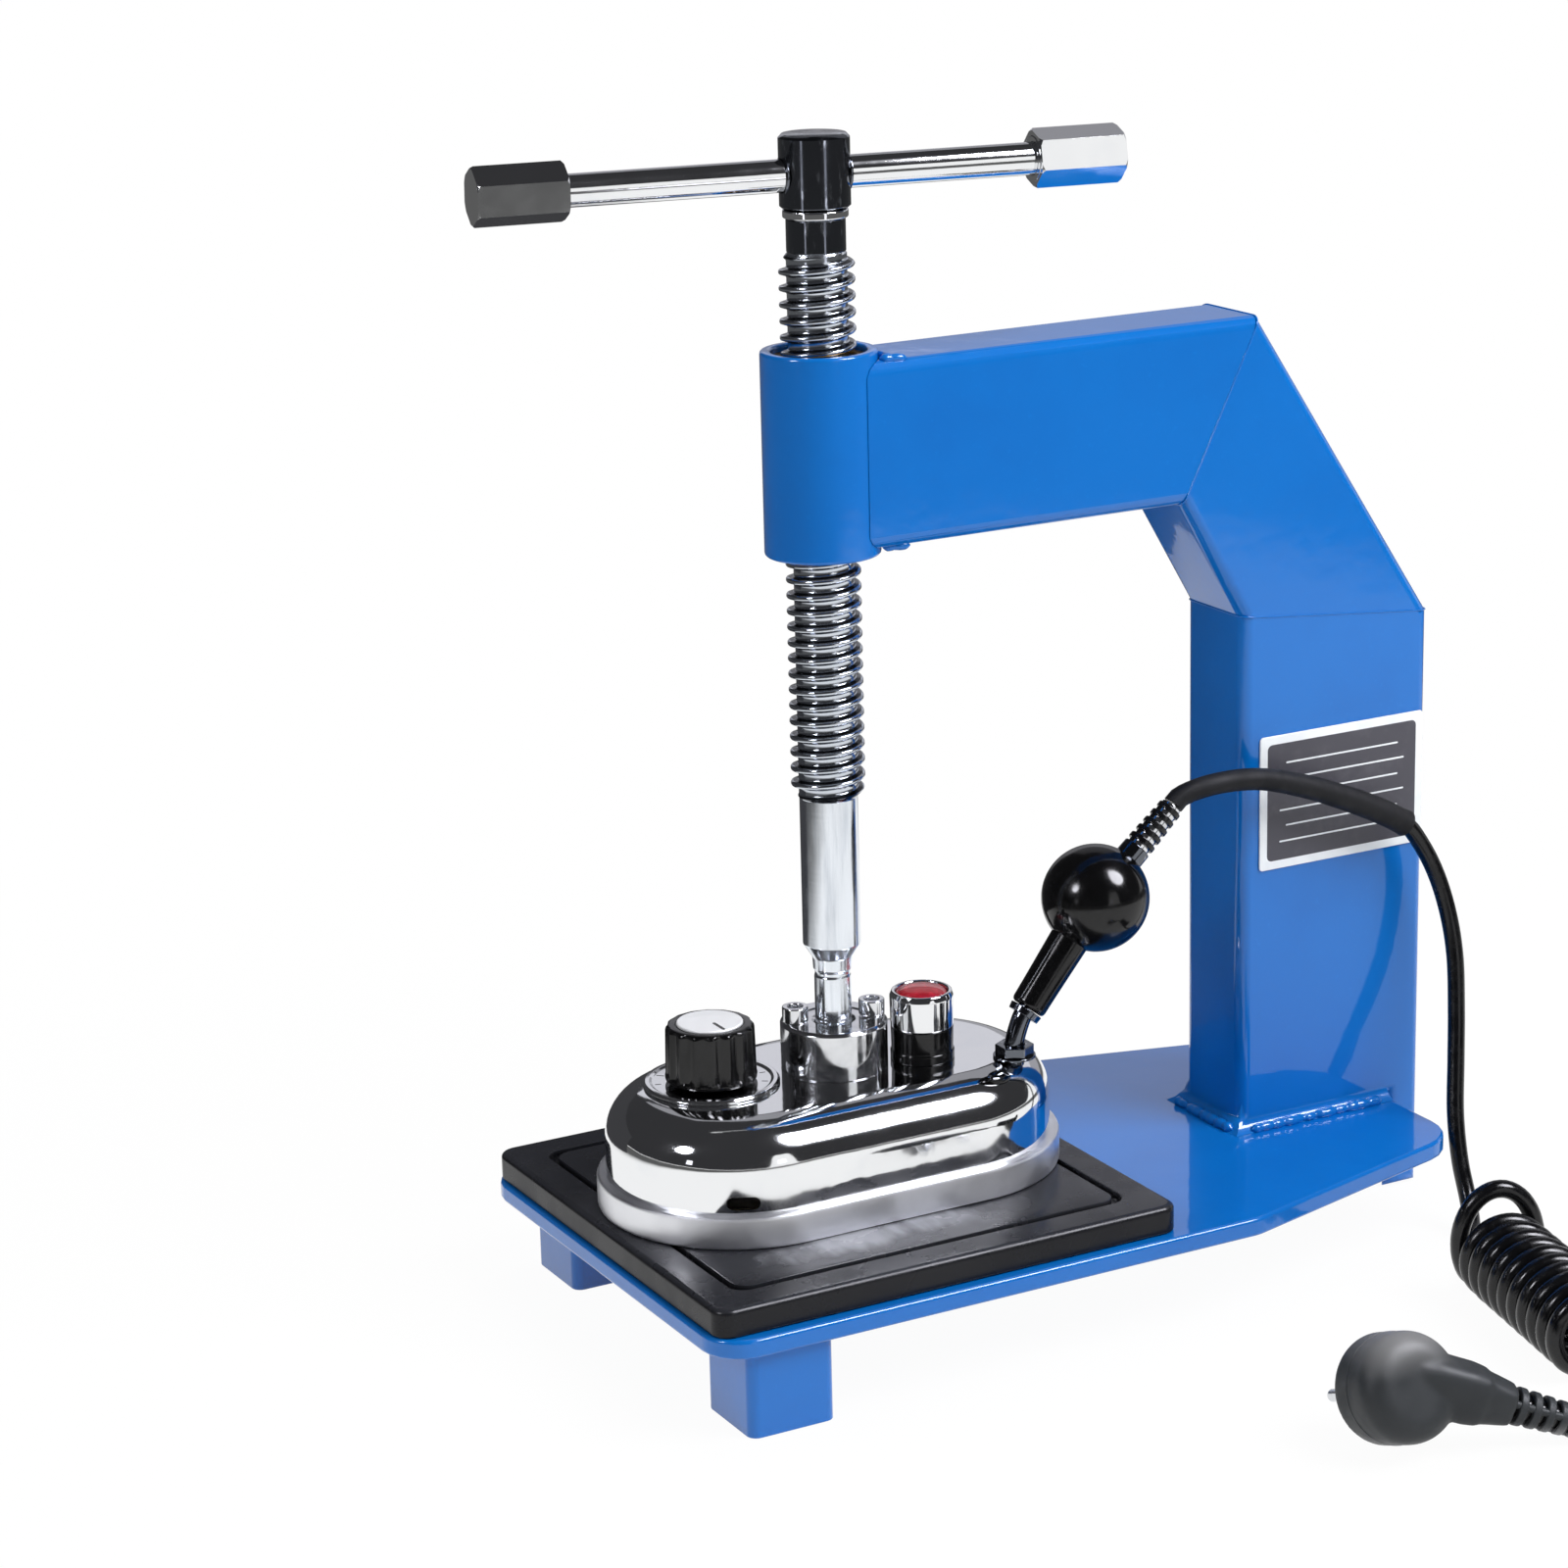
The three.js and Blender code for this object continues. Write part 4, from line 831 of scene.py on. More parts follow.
def seam_round(name, low, high):
    """A low ridge of filler round the tube over one mitre, between two corners of the side view."""
    along = Vector(high) - Vector(low)
    way = along.normalized()
    outline = []
    for p in ring_of_rectangle(along.length, FRAME_WIDTH, 4.6, 0, along.length / 2, 6):
        spot = Vector(low) + way * p.x
        outline.append(Vector((spot.x, p.y, spot.y)))
    outline.append(outline[0])
    ring = []
    for a, b in zip(outline, outline[1:]):
        steps = max(1, round((b - a).length / 2.5))
        ring += [a.lerp(b, step / steps) for step in range(steps)]
    ring.append(ring[0])
    finished(tube(name, ring, 0.35, 8), "paint", "frame")


def make_frame():
    for node, *rounding in (
        ("base_plate", 1.3, 4), ("front_foot_near", 0.5, 2, 50), ("front_foot_far", 0.5, 2, 50),
        ("column_tube",), ("knee_tube",), ("arm_tube",),
    ):
        finished(dressed(node, *rounding), "paint", "frame", node)
    section = pipe(BOSS_INNER, BOSS_RADIUS, BOSS_BOTTOM, BOSS_TOP)
    turned("boss_pipe", section, 128, 1.3, "paint", "frame", "screw_boss")
    seam_round("seam_low", (262.8, 202.6), (173.5, 211.5))
    seam_round("seam_high", (145.8, 258.9), (180.5, 328.2))
    # Foot weld over the column's fillet, then the boss's welds to the arm
    sides = (("near", -1), ("far", 1))
    for k, (name, side) in enumerate(sides):
        edge = [(x, side * 24.2 + 0.4 * math.sin(x * 0.7), 1.3) for x in range(176, 244, 4)]
        bead("foot_weld_" + name, edge, 2.1, 3 + k, 0.55, 5.2)
    bead("foot_weld_front", [(169.6, y, 1.3) for y in range(-20, 21, 4)], 2.1, 5, 0.55, 5.2)
    for k, (name, side) in enumerate(sides):
        for part, level, radius, seed in (
            ("top", ARM_TOP + 0.2, 1.8, 6), ("low", ARM_BOTTOM - 0.2, 1.7, 10),
        ):
            lumps = [(17 + 2.6 * i, side * (14.5 + 0.55 * i), level) for i in range(5)]
            bead(f"boss_weld_{part}_{name}", lumps, radius, seed + k, 0.4, 4.6)
    for part, level, seed in (("top", ARM_TOP + 0.3, 12), ("low", ARM_BOTTOM - 0.3, 13)):
        bead("boss_weld_" + part, [(22.2, y, level) for y in range(-14, 15, 4)], 1.5, seed, 0.3, 5)


def make_pad():
    def ring(inset, level, radius=PAD_RADIUS):
        return ring_of_rectangle(PAD_LENGTH - inset * 2, PAD_WIDTH - inset * 2, radius, level, PAD_OFFSET)

    rings = [ring(0.8, 0.1, 6.4), ring(0.2, 0.4, 6.8), ring(0, 1.0), ring(0, PAD_TOP - PAD_EDGE)]
    for step in range(1, 6):
        angle = math.pi / 2 * step / 5
        level = PAD_TOP - PAD_EDGE * (1 - math.sin(angle))
        rings.append(ring(PAD_EDGE * (1 - math.cos(angle)), level, PAD_RADIUS - 0.4 * step))
    # The incised line and the flat middle
    for inset, depth in (
        (13.6, 0), (14.1, 0.25), (14.3, 2.4), (16.8, 2.4), (17.0, 0.25), (17.5, 0),
        (24, 0), (50, 0), (80, 0),
    ):
        rings.append(ring(inset, PAD_TOP - depth))
    finished(loft("pad_surface", rings, angle=50), "pad", "frame", "rubber_pad")


def make_label():
    def standing(ring, depth, rise=0.0):
        return [LABEL_MIDDLE + Vector((p.x, -depth, p.y + rise)) for p in ring]

    def plate(name, inset, low, high, radius, finish, *nodes):
        rings = []
        soft = min(0.15, (high - low) / 2)
        for extra, depth in ((soft, low), (0, low + soft), (0, high - soft), (soft, high)):
            less = (inset + extra) * 2
            flat = ring_of_rectangle(LABEL_LENGTH - less, LABEL_HEIGHT - less, radius, 0, steps=5)
            rings.append(standing(flat, depth))
        finished(loft(name, rings), finish, "frame", *nodes)

    plate("label_border", 0, 0, 0.8, 1.5, "label_white", "label_plate")
    plate("label_field", 3.4, 0.7, 0.86, 2.2, "label_panel")
    for i in range(6):
        rule = ring_of_rectangle(54 if i % 2 else 60, 0.7, 0.3, 0, steps=2)
        rise = 11 + 6.4 * i - LABEL_HEIGHT / 2
        finished(
            loft(f"label_rule_{i}", [standing(rule, depth, rise) for depth in (0.8, 0.9)]),
            "label_white", "frame",
        )


# Head
def head_ring(inset, level):
    """A stadium about the head's middle, drawn in from the heater plate's outline."""
    radius = HEAD_RADIUS - inset
    ring = []
    for side, first in ((1, -90), (-1, 90)):
        centre = Vector((HEAD_OFFSET + side * HEAD_HALF, 0, level))
        for step in range(41):
            ring.append(centre + polar(radius, math.radians(first + 180 * step / 40)))
        for step in range(1, 8):
            ring.append(Vector((HEAD_OFFSET + side * HEAD_HALF * (1 - step / 4), side * radius, level)))
    return ring


def make_heater():
    section = [
        (1.2, HEATER_BOTTOM), (0.35, HEATER_BOTTOM + 0.35), (0, HEATER_BOTTOM + 1.2),
        (0, HEATER_TOP - 1.3), (0.4, HEATER_TOP - 0.4), (1.3, HEATER_TOP), (6, HEATER_TOP),
        (30, HEATER_TOP),
    ]
    plate = loft("heater_surface", [head_ring(inset, level) for inset, level in section])
    finished(plate, "aluminium", "head", "heater_plate")


def cover_normal(point):
    """The direction that the cover's outer skin faces at a point on it."""
    nearest = max(HEAD_OFFSET - HEAD_HALF, min(HEAD_OFFSET + HEAD_HALF, point.x))
    outward = Vector((point.x - nearest, point.y, 0))
    turn = (outward.length - (HEAD_RADIUS - COVER_INSET - COVER_SHOULDER)) / COVER_SHOULDER
    outward.normalize()
    if point.z < COVER_TOP - COVER_SHOULDER:
        return outward
    if turn <= 0:
        return Vector((0, 0, 1))
    tilt = math.acos(min(1, turn))
    return outward * math.cos(tilt) + Vector((0, 0, math.sin(tilt)))


def make_cover():
    def shoulder(wall, steps):
        size = COVER_SHOULDER - wall
        rings = []
        for step in range(steps + 1):
            angle = math.pi / 2 * step / steps
            inset = COVER_INSET + wall + size * (1 - math.cos(angle))
            rings.append(head_ring(inset, COVER_TOP - wall - size * (1 - math.sin(angle))))
        return rings

    rise = COVER_TOP - COVER_SHOULDER - COVER_BOTTOM
    top_inset = COVER_INSET + COVER_SHOULDER + 12
    outer = [head_ring(COVER_INSET, COVER_BOTTOM + rise * step / 8) for step in range(8)]
    outer += [*shoulder(0, 18), head_ring(top_inset, COVER_TOP)]
    inner = [head_ring(top_inset, COVER_TOP - COVER_WALL), *shoulder(COVER_WALL, 6)[::-1]]
    inner.append(head_ring(COVER_INSET + COVER_WALL, COVER_BOTTOM))
    count = len(outer[0])
    levels = len(outer) + len(inner)
    faces = []
    for level in range(levels):
        if level != len(outer) - 1:
            faces += band(level * count, (level + 1) % levels * count, count)
    top = (len(outer) - 1) * count
    faces.append(list(range(top, top + count)))
    faces.append(list(range(top + count, top + count * 2))[::-1])
    cover = new_object("cover_shell", [p for ring in outer + inner for p in ring], faces)
    # The vent near the cover's left end
    facing = polar(1, math.radians(-116))
    sideways = Vector((-facing.y, facing.x, 0))
    middle = Vector((HEAD_OFFSET - HEAD_HALF, 0, COVER_BOTTOM + 4.5)) + facing * (HEAD_RADIUS - COVER_INSET)
    slot = [sideways * p.x + Vector((0, 0, p.y)) for p in ring_of_rectangle(12.5, 5, 2.4, 0, steps=6)]
    carved(cover, loft("vent_tool", [[middle + facing * depth + p for p in slot] for depth in (-4, 3)]))
    mesh = cover.data
    smooth_faces(mesh)
    normals = []
    for polygon in mesh.polygons:
        flat = polygon.normal.copy()
        for loop in polygon.loop_indices:
            place = mesh.vertices[mesh.loops[loop].vertex_index].co * 1000 - SHIFT
            true = cover_normal(place)
            normals.append(tuple(true if flat.dot(true) > 0.9 else flat))
    mesh.normals_split_custom_set(normals)
    finished(cover, "chrome", "head", "head_cover")


def make_collar():
    section = [
        (11.3, COLLAR_BOTTOM), (20.5, COLLAR_BOTTOM), (20.5, COLLAR_TOP - 1.2), (19.3, COLLAR_TOP),
        (13.5, COLLAR_TOP), (12.8, COLLAR_TOP - 0.5), (8.4, COLLAR_TOP - 0.5), (7.3, COLLAR_TOP - 1.4),
        (7.3, 69.1), (11.3, 69.1), (11.3, COLLAR_BOTTOM),
    ]
    turned("collar_body", section, 128, 0.25, "steel", "head", "swivel_collar")
    high = SCREW_SEAT + 6
    screw = [
        (0, 50), (2.5, 50), (2.5, SCREW_SEAT), (5, SCREW_SEAT), (5, high), (2.9, high), (2.6, high - 3),
        (0, high - 3),
    ]
    for name, side in (("front", -1), ("rear", 1)):
        place = polar(15 * side, math.radians(-15))
        turned("cap_screw_" + name, screw, 64, 0.5, "steel", "head", "collar_screw_" + name, place=place)


def make_lamp():
    case = [
        (0, 46.1), (8, 46.1), (8, COVER_SEAT), (12.35, COVER_SEAT), (12.35, 59.5), (11.9, 60), (12.1, 69.1),
        (0, 69.1),
    ]
    turned("lamp_case", case, 96, 0.4, "gloss_black", "head", "lamp_body", place=LAMP_PLACE)
    ring = [(10, 69.2), (12.1, 69.2), (12.35, 81.2), (11.5, 83.2), (10.4, 83.2), (10, 82.4), (10, 69.2)]
    turned("lamp_ring", ring, 96, 0.4, "chrome", "head", "lamp_bezel", place=LAMP_PLACE)
    glass = [(0, 69.2), (LENS_RADIUS, 69.2), (LENS_RADIUS, 81.7)]
    for step in range(1, 8):
        angle = math.pi / 2 * step / 8
        glass.append((LENS_RADIUS * math.cos(angle), 81.7 + 3 * math.sin(angle)))
    glass.append((0, 84.7))
    turned("lamp_glass", glass, 96, 0.0, "lens", "head", "lamp_lens", place=LAMP_PLACE)


def make_knob():
    low = COVER_TOP + 2.6
    high = low + 21.5

    def ring(radius, level, depth):
        """A ring of the knob, with sixteen lobes of some depth."""
        points = []
        for i in range(288):
            angle = math.tau * i / 288
            flute = depth * abs(math.sin(angle * 8 + 0.3)) ** 1.6
            points.append(KNOB_PLACE + polar(radius - flute, angle, level))
        return points

    rings = [
        ring(16.9, low, 0), ring(17.4, low + 0.3, 0), ring(17.5, low + 0.8, 0), ring(17.5, low + 1.6, 0.1),
        ring(17.3, low + 2.4, 0.9), ring(16.9, high - 1.8, 1.1), ring(16.6, high - 0.8, 0.8),
        ring(15.9, high - 0.2, 0.3), ring(15.2, high, 0), ring(13.2, high, 0), ring(12.9, high - 0.3, 0),
    ]
    finished(loft("knob_body", rings, angle=35), "gloss_black", "knob", "control_knob")
    disc = [(0, high - 0.2), (12.6, high - 0.2), (12.6, high + 0.5), (12.2, high + 0.9), (0, high + 0.9)]
    turned("knob_face", disc, 96, 0.2, "silver", "knob", "knob_disc", place=KNOB_PLACE)
    mark = ring_of_rectangle(1.3, 9, 0.6, 0, steps=3)
    levels = (high + 0.7, high + 1.0)
    rings = [[KNOB_PLACE + p + Vector((0, -7.6, level)) for p in mark] for level in levels]
    finished(loft("knob_mark", rings), "gloss_black", "knob")
    dial = [
        (3.3, COVER_SEAT), (26, COVER_SEAT), (26, COVER_SEAT + 1.0), (25.2, COVER_SEAT + 1.9),
        (23.6, COVER_SEAT + 2), (22.6, COVER_SEAT + 1.2), (3.3, COVER_SEAT + 1.2), (3.3, COVER_SEAT),
    ]
    turned("dial_disc", dial, 128, 0.2, "chrome", "head", "dial_ring", place=KNOB_PLACE)
    for i in range(11):
        tick = ring_of_rectangle(2.4 if i % 5 else 3.2, 0.5, 0.2, 0, 20.4, 2)
        turn = Matrix.Rotation(math.radians(-225 + 27 * i), 3, "Z")
        levels = (COVER_SEAT + 1.0, COVER_SEAT + 1.25)
        rings = [[KNOB_PLACE + turn @ p + Vector((0, 0, level)) for p in tick] for level in levels]
        finished(loft(f"dial_tick_{i}", rings), "gloss_black", "head")


def ribs(name, along, low, pitch, section, taper, soft, finish, body):
    """Five ribs of a strain relief, each a little smaller than the one before it."""
    inner, outer, slope = section
    for i in range(5):
        bottom = low + pitch * i
        top = bottom + pitch * 0.56
        size = outer - taper * i / 4
        rib = [(inner, bottom), (size, bottom), (size - slope, top), (inner, top), (inner, bottom)]
        turned(f"{name}_rib_{i}", rib, 48, soft, finish, body, along=along)


def spine(name, start, stop, radius, finish, body):
    """A rod that joins the ribs of a strain relief."""
    finished(tube(name, smooth_route([start, stop], 3), radius, 12), finish, body)


def make_handle():
    way = (BALL_CENTRE - HANDLE_START).normalized()
    route = [STUD_FOOT + Vector((0, 0, level)) for level in (45.5, 56, 61.1)]
    route += [HANDLE_START - way * STUD_RADIUS, HANDLE_START - way * 0.1]
    finished(
        tube("stud_rod", smooth_route(route, 1.0), STUD_RADIUS, 24), "black_chrome", "head", "handle_stud"
    )
    washer = pipe(4.1, 8.2, COVER_SEAT, COVER_SEAT + 1)
    turned("stud_washer", washer, 64, 0.25, "black_chrome", "head", place=STUD_FOOT)
    finished(dressed("stud_nut", 0.35, 3, 40), "black_chrome", "head", "stud_nut")
    handle = (HANDLE_START, BALL_CENTRE)
    end = (BALL_CENTRE - HANDLE_START).length - BALL_RADIUS + 5
    grip = [(0, 0), (5.6, 0), (6.6, 0.5), (7.0, 1.6), (7.1, 8), (7.3, 16), (7.8, end), (0, end)]
    turned("grip_sleeve", grip, 96, 0.5, "gloss_black", "head", "handle_grip", along=handle)
    ferrule = [(3.9, -3.2), (6.2, -3.2), (6.6, -0.4), (3.9, -0.4), (3.9, -3.2)]
    turned("grip_ferrule", ferrule, 64, 0.3, "black_chrome", "head", along=handle)
    ball = [(0, -BALL_RADIUS)]
    for step in range(1, 48):
        angle = math.pi * step / 48 - math.pi / 2
        ball.append((BALL_RADIUS * math.cos(angle), BALL_RADIUS * math.sin(angle)))
    ball.append((0, BALL_RADIUS))
    along = (BALL_CENTRE, BALL_CENTRE + way)
    turned("ball_body", ball, 96, 0.0, "gloss_black", "head", "handle_ball", along=along)
    # The strain relief: a bright core in a foot, with five ribs and two spines
    relief = (BALL_CENTRE, RELIEF_END)
    length = (RELIEF_END - BALL_CENTRE).length
    core = [(0, 19), (4.3, 19), (3.9, length - 0.5), (0, length - 0.5)]
    turned("relief_core", core, 48, 0.2, "steel", "head", "strain_relief", along=relief)
    foot = [(4.5, 19.5), (5.7, 19.5), (5.6, 25.5), (4.5, 25.5), (4.5, 19.5)]
    turned("relief_foot", foot, 48, 0.4, "black_chrome", "head", along=relief)
    ribs("relief", relief, 27.2, (length - 27) / 5, (3.6, 5.6, 0), 0.7, 0.5, "cord", "head")
    outward = (RELIEF_END - BALL_CENTRE).normalized()
    across = outward.cross(Vector((0, 1, 0))).normalized()
    for k, side in enumerate((-across, across)):
        start = BALL_CENTRE + outward * 24 + side * 3.9
        stop = BALL_CENTRE + outward * (length - 1.0) + side * 3.4
        spine(f"relief_spine_{k}", start, stop, 1.3, "cord", "head")


# Screw and bar
def thread_mesh():
    """The coarse thread, a helix that fades out at both ends."""
    turns = round((THREAD_TOP - THREAD_BOTTOM) / THREAD_PITCH)
    per_turn = 56
    # Along one pitch: the root, the rounded crest and the root again
    profile = [
        (0.0, 0), (0.16, 0), (0.24, 0.12), (0.30, 0.55), (0.36, 0.9), (0.44, 1.0),
        (0.56, 1.0), (0.64, 0.9), (0.70, 0.55), (0.76, 0.12), (0.84, 0),
    ]
    points = []
    for i in range(-per_turn, turns * per_turn + 1):
        for share, lift in profile:
            level = THREAD_BOTTOM + THREAD_PITCH * (i / per_turn + share)
            level = max(THREAD_BOTTOM, min(THREAD_TOP, level))
            fade = max(0, min(1, (level - THREAD_BOTTOM) / 3.5, (THREAD_TOP - level) / 3.5))
            radius = THREAD_ROOT + (THREAD_CREST - THREAD_ROOT) * lift * fade
            points.append(polar(radius, math.tau * i / per_turn, level))
    faces = []
    count = len(profile)
    columns = per_turn * (turns + 1) + 1
    for i in range(columns - 1):
        a, b = i * count, (i + 1) * count
        faces += [[a + j, b + j, b + j + 1, a + j + 1] for j in range(count - 1)]
        if i + 1 + per_turn < columns:
            faces.append([a + count - 1, b + count - 1, b + per_turn * count, a + per_turn * count])
    return weighted(new_object("spindle_thread", points, faces, 2e-6, merged=False), 60)


def make_screw():
    section = [
        (0, PIN_BOTTOM), (6, PIN_BOTTOM), (7, PIN_BOTTOM + 1), (7, 92.5), (6.7, 93), (6.7, 94.5),
        (7.3, 95.2), (7.6, SHAFT_BOTTOM - 5.4), (11, SHAFT_BOTTOM), (11, THREAD_BOTTOM - 2),
        (11.02, THREAD_TOP), (10.5, THREAD_TOP + 1), (10.5, SPINDLE_TOP), (7, SPINDLE_TOP),
        (7, SPINDLE_TOP + 7.5), (0, SPINDLE_TOP + 7.5),
    ]
    turned("spindle_body", section, 96, 0.4, "zinc", "screw", "spindle")
    finished(thread_mesh(), "thread", "screw")
    neck = [
        (10.4, THREAD_TOP + 0.5), (10.9, THREAD_TOP + 1), (10.9, SPINDLE_TOP - 0.4), (10.4, SPINDLE_TOP),
        (10.4, THREAD_TOP + 0.5),
    ]
    turned("spindle_neck", neck, 96, 0.2, "black_chrome", "screw")
    ring = pipe(7.1, 12, SPINDLE_TOP + 0.1, HUB_BOTTOM - 0.1)
    turned("neck_ring", ring, 96, 0.6, "chrome", "screw", "hub_ring")
    rise = HUB_TOP - HUB_BOTTOM - 2.6
    hub = [(0, HUB_BOTTOM), (HUB_RADIUS - 1.4, HUB_BOTTOM)]
    hub += [(HUB_RADIUS, HUB_BOTTOM + 1.2 + rise * i / 14) for i in range(15)]
    hub += [(HUB_RADIUS - 1.3, HUB_TOP), (0, HUB_TOP)]
    body = bake(lathe("hub_body", hub, 128, 0.0))
    middle = Vector((0, 0, BAR_LEVEL))
    tool = [(0, -20), (6.3, -20), (6.3, 20), (0, 20)]
    carved(body, bake(lathe("hub_tool", tool, 64, 0.0, (middle, middle + BAR_WAY))))
    smooth_faces(body.data)
    finished(weighted(body, 32), "black_chrome", "screw", "spindle_hub")
    for name, side in (("left", -1), ("right", 1)):
        face = middle + BAR_WAY * (12.1 * side)
        rim = pipe(6.35, 7.0, -0.5, 0.45)
        turned("hub_rim_" + name, rim, 64, 0.2, "black_chrome", "screw", along=(face, face + BAR_WAY))


def make_bar():
    middle = Vector((0, 0, BAR_LEVEL)) + BAR_WAY * BAR_SLIDE
    half = BAR_HALF - CAP_WALL
    rod = [(0, -half), (BAR_RADIUS, -half), (BAR_RADIUS, half), (0, half)]
    turned("bar_rod", rod, 96, 0.5, "chrome", "bar", "tommy_bar", along=(middle, middle + BAR_WAY))
    # Each cap shows the photograph's camera its own flats
    for name, side, turn in (("right", 1, -22), ("left", -1, -14)):
        start = middle + BAR_WAY * (side * (BAR_HALF - CAP_LENGTH))
        along = (start, start + BAR_WAY * side)
        angles = [math.tau * i / 6 + math.radians(turn) for i in range(6)]
        rings = [[polar(CAP_RADIUS, angle, level) for angle in angles] for level in (0, CAP_LENGTH)]
        cap = bake(loft("cap_blank", [aimed(ring, *along) for ring in rings]))
        limit = [
            (0, 0), (CAP_RADIUS - 0.9, 0), (CAP_RADIUS + 0.1, 1), (CAP_RADIUS + 0.1, CAP_LENGTH - 1),
            (CAP_RADIUS - 0.9, CAP_LENGTH), (0, CAP_LENGTH),
        ]
        carved(cap, bake(lathe("cap_limit", limit, 96, 0.0, along)), "INTERSECT")
        bore = [(0, -5), (6.1, -5), (6.1, 24.6), (0, 24.6)]
        carved(cap, bake(lathe("cap_bore", bore, 64, 0.0, along)))
        cap.name = "cap_" + name
        rounded(cap, 0.8, 3, 20)
        smooth_faces(cap.data)
        finished(weighted(cap, 60), "chrome", "bar", "bar_cap_" + name)
        collar = [(6.15, -0.25), (8.2, -0.25), (8.5, 0.4), (6.15, 0.4), (6.15, -0.25)]
        turned("cap_collar_" + name, collar, 64, 0.3, "chrome", "bar", along=along)


# Plug
def make_plug():
    lean = math.radians(PLUG_LEAN)
    level_way = polar(1, math.radians(PLUG_PIN_HEADING))
    pin_way = level_way * math.cos(lean) - Vector((0, 0, math.sin(lean)))
    end = plug_relief_end()
    arm_way = (end - PLUG_ARM_START).normalized()
    section = [(0, -PLUG_HALF)]
    for step in range(13):
        angle = math.pi / 2 * step / 12
        radius = PLUG_RADIUS - PLUG_EDGE * (1 - math.sin(angle))
        section.append((radius, PLUG_EDGE * (1 - math.cos(angle)) - PLUG_HALF))
    section += [(PLUG_RADIUS, 11.6), (19.2, 12.8), (17.5, PLUG_HALF), (0, PLUG_HALF)]
    along = (PLUG_CENTRE, PLUG_CENTRE + pin_way)
    body = bake(lathe("plug_shell", section, 96, 0.0, along))
    across = arm_way.cross(Vector((0, 0, 1))).normalized()
    above = across.cross(arm_way)
    rings = []
    # Shares of the arm's length, with the half height and the half width of its rounded square there
    for share, high, wide in (
        (0.0, 10.2, 9.4), (0.35, 10.8, 9.8), (0.6, 10.7, 9.6), (0.72, 10.0, 9.0), (0.74, 9.2, 8.4),
        (1.0, 7.1, 7.1),
    ):
        centre = PLUG_ARM_START + arm_way * (PLUG_ARM_LENGTH * share)
        ring = []
        for i in range(40):
            angle = math.tau * i / 40
            x, y = (math.copysign(abs(c) ** 0.62, c) for c in (math.cos(angle), math.sin(angle)))
            ring.append(centre + across * (x * wide) + above * (y * high))
        rings.append(ring)
    carved(body, bake(loft("plug_arm", rings)), "UNION")
    remesh = body.modifiers.new("fused", "REMESH")
    remesh.mode = "VOXEL"
    remesh.voxel_size = 0.0008
    even = body.modifiers.new("eased", "SMOOTH")
    even.factor = 0.5
    even.iterations = 10
    bake(body)
    smooth_faces(body.data)
    finished(body, "grey", "frame", "plug_body")
    seam = [(19.7, 3.2), (20.12, 3.4), (20.12, 4.4), (19.7, 4.6), (19.3, 4), (19.7, 3.2)]
    turned("plug_seam", seam, 128, 0.1, "grey", "frame", along=along)
    # The strain relief: a dark core with five ribs and three spines
    reach = PLUG_ARM_LENGTH
    relief = (PLUG_ARM_START, end)
    core = [(0, reach - 2), (4.6, reach - 2), (4.0, PLUG_REACH - 1), (0, PLUG_REACH - 1)]
    turned("plug_relief_core", core, 48, 0.4, "gloss_black", "frame", "plug_relief", along=relief)
    ribs("plug", relief, reach + 1.4, (PLUG_REACH - reach) / 5, (4.2, 7.0, 0.1), 1.0, 0.6, "grey", "frame")
    for k in range(3):
        angle = math.tau * (k / 3 + 0.07)
        side = across * math.cos(angle) + above * math.sin(angle)
        start = PLUG_ARM_START + arm_way * (reach - 1) + side * 5.2
        stop = PLUG_ARM_START + arm_way * (PLUG_REACH - 0.6) + side * 4.6
        spine(f"plug_spine_{k}", start, stop, 1.5, "grey", "frame")
    for name, side in (("left", -1), ("right", 1)):
        start = PLUG_CENTRE + Vector((-level_way.y, level_way.x, 0)) * (side * PLUG_PIN_REACH)
        along = (start, start + pin_way)
        pin = [(0, 8), (2.4, 8), (2.4, 30.4), (1.8, 31.5), (0, 32)]
        turned("pin_" + name, pin, 48, 0.5, "steel", "frame", "plug_pin_" + name, along=along)
        sheath = [(2.4, 12), (2.75, 12), (2.75, 14.5), (2.4, 14.8), (2.4, 12)]
        turned("pin_sheath_" + name, sheath, 48, 0.1, "grey", "frame", along=along)


make_frame()
make_pad()
make_label()
make_heater()
make_cover()
make_collar()
make_lamp()
make_knob()
make_handle()
make_screw()
make_bar()
make_plug()

# Inner pieces that stay as the CAD has them
INNER = {
    "screw_nut": "bronze", "heating_element": "steel", "insulation_board": "board",
    "pressure_post": "steel", "thrust_ball": "steel", "thermostat": "grey", "terminal_block": "grey",
    "thermostat_shaft": "steel", "retaining_ring": "steel",
}
for node, finish in INNER.items():
    mesh = frame["nodes"][node].data
    mesh.materials.clear()
    mesh.materials.append(FINISH[finish])


# Light, floor and the studio that the metal mirrors
def stage_material(name):
    """An empty material for a piece of the studio, and its nodes."""
    material = bpy.data.materials.new(name)
    material.use_nodes = True
    material.node_tree.nodes.clear()
    return material, material.node_tree


def seen_rays(tree, path):
    """1 for rays from the camera, from gloss and through glass."""
    total = path.outputs["Is Camera Ray"]
    for name in ("Is Glossy Ray", "Is Transmission Ray"):
        total = maths(tree, "MAXIMUM", total, path.outputs[name])
    return total


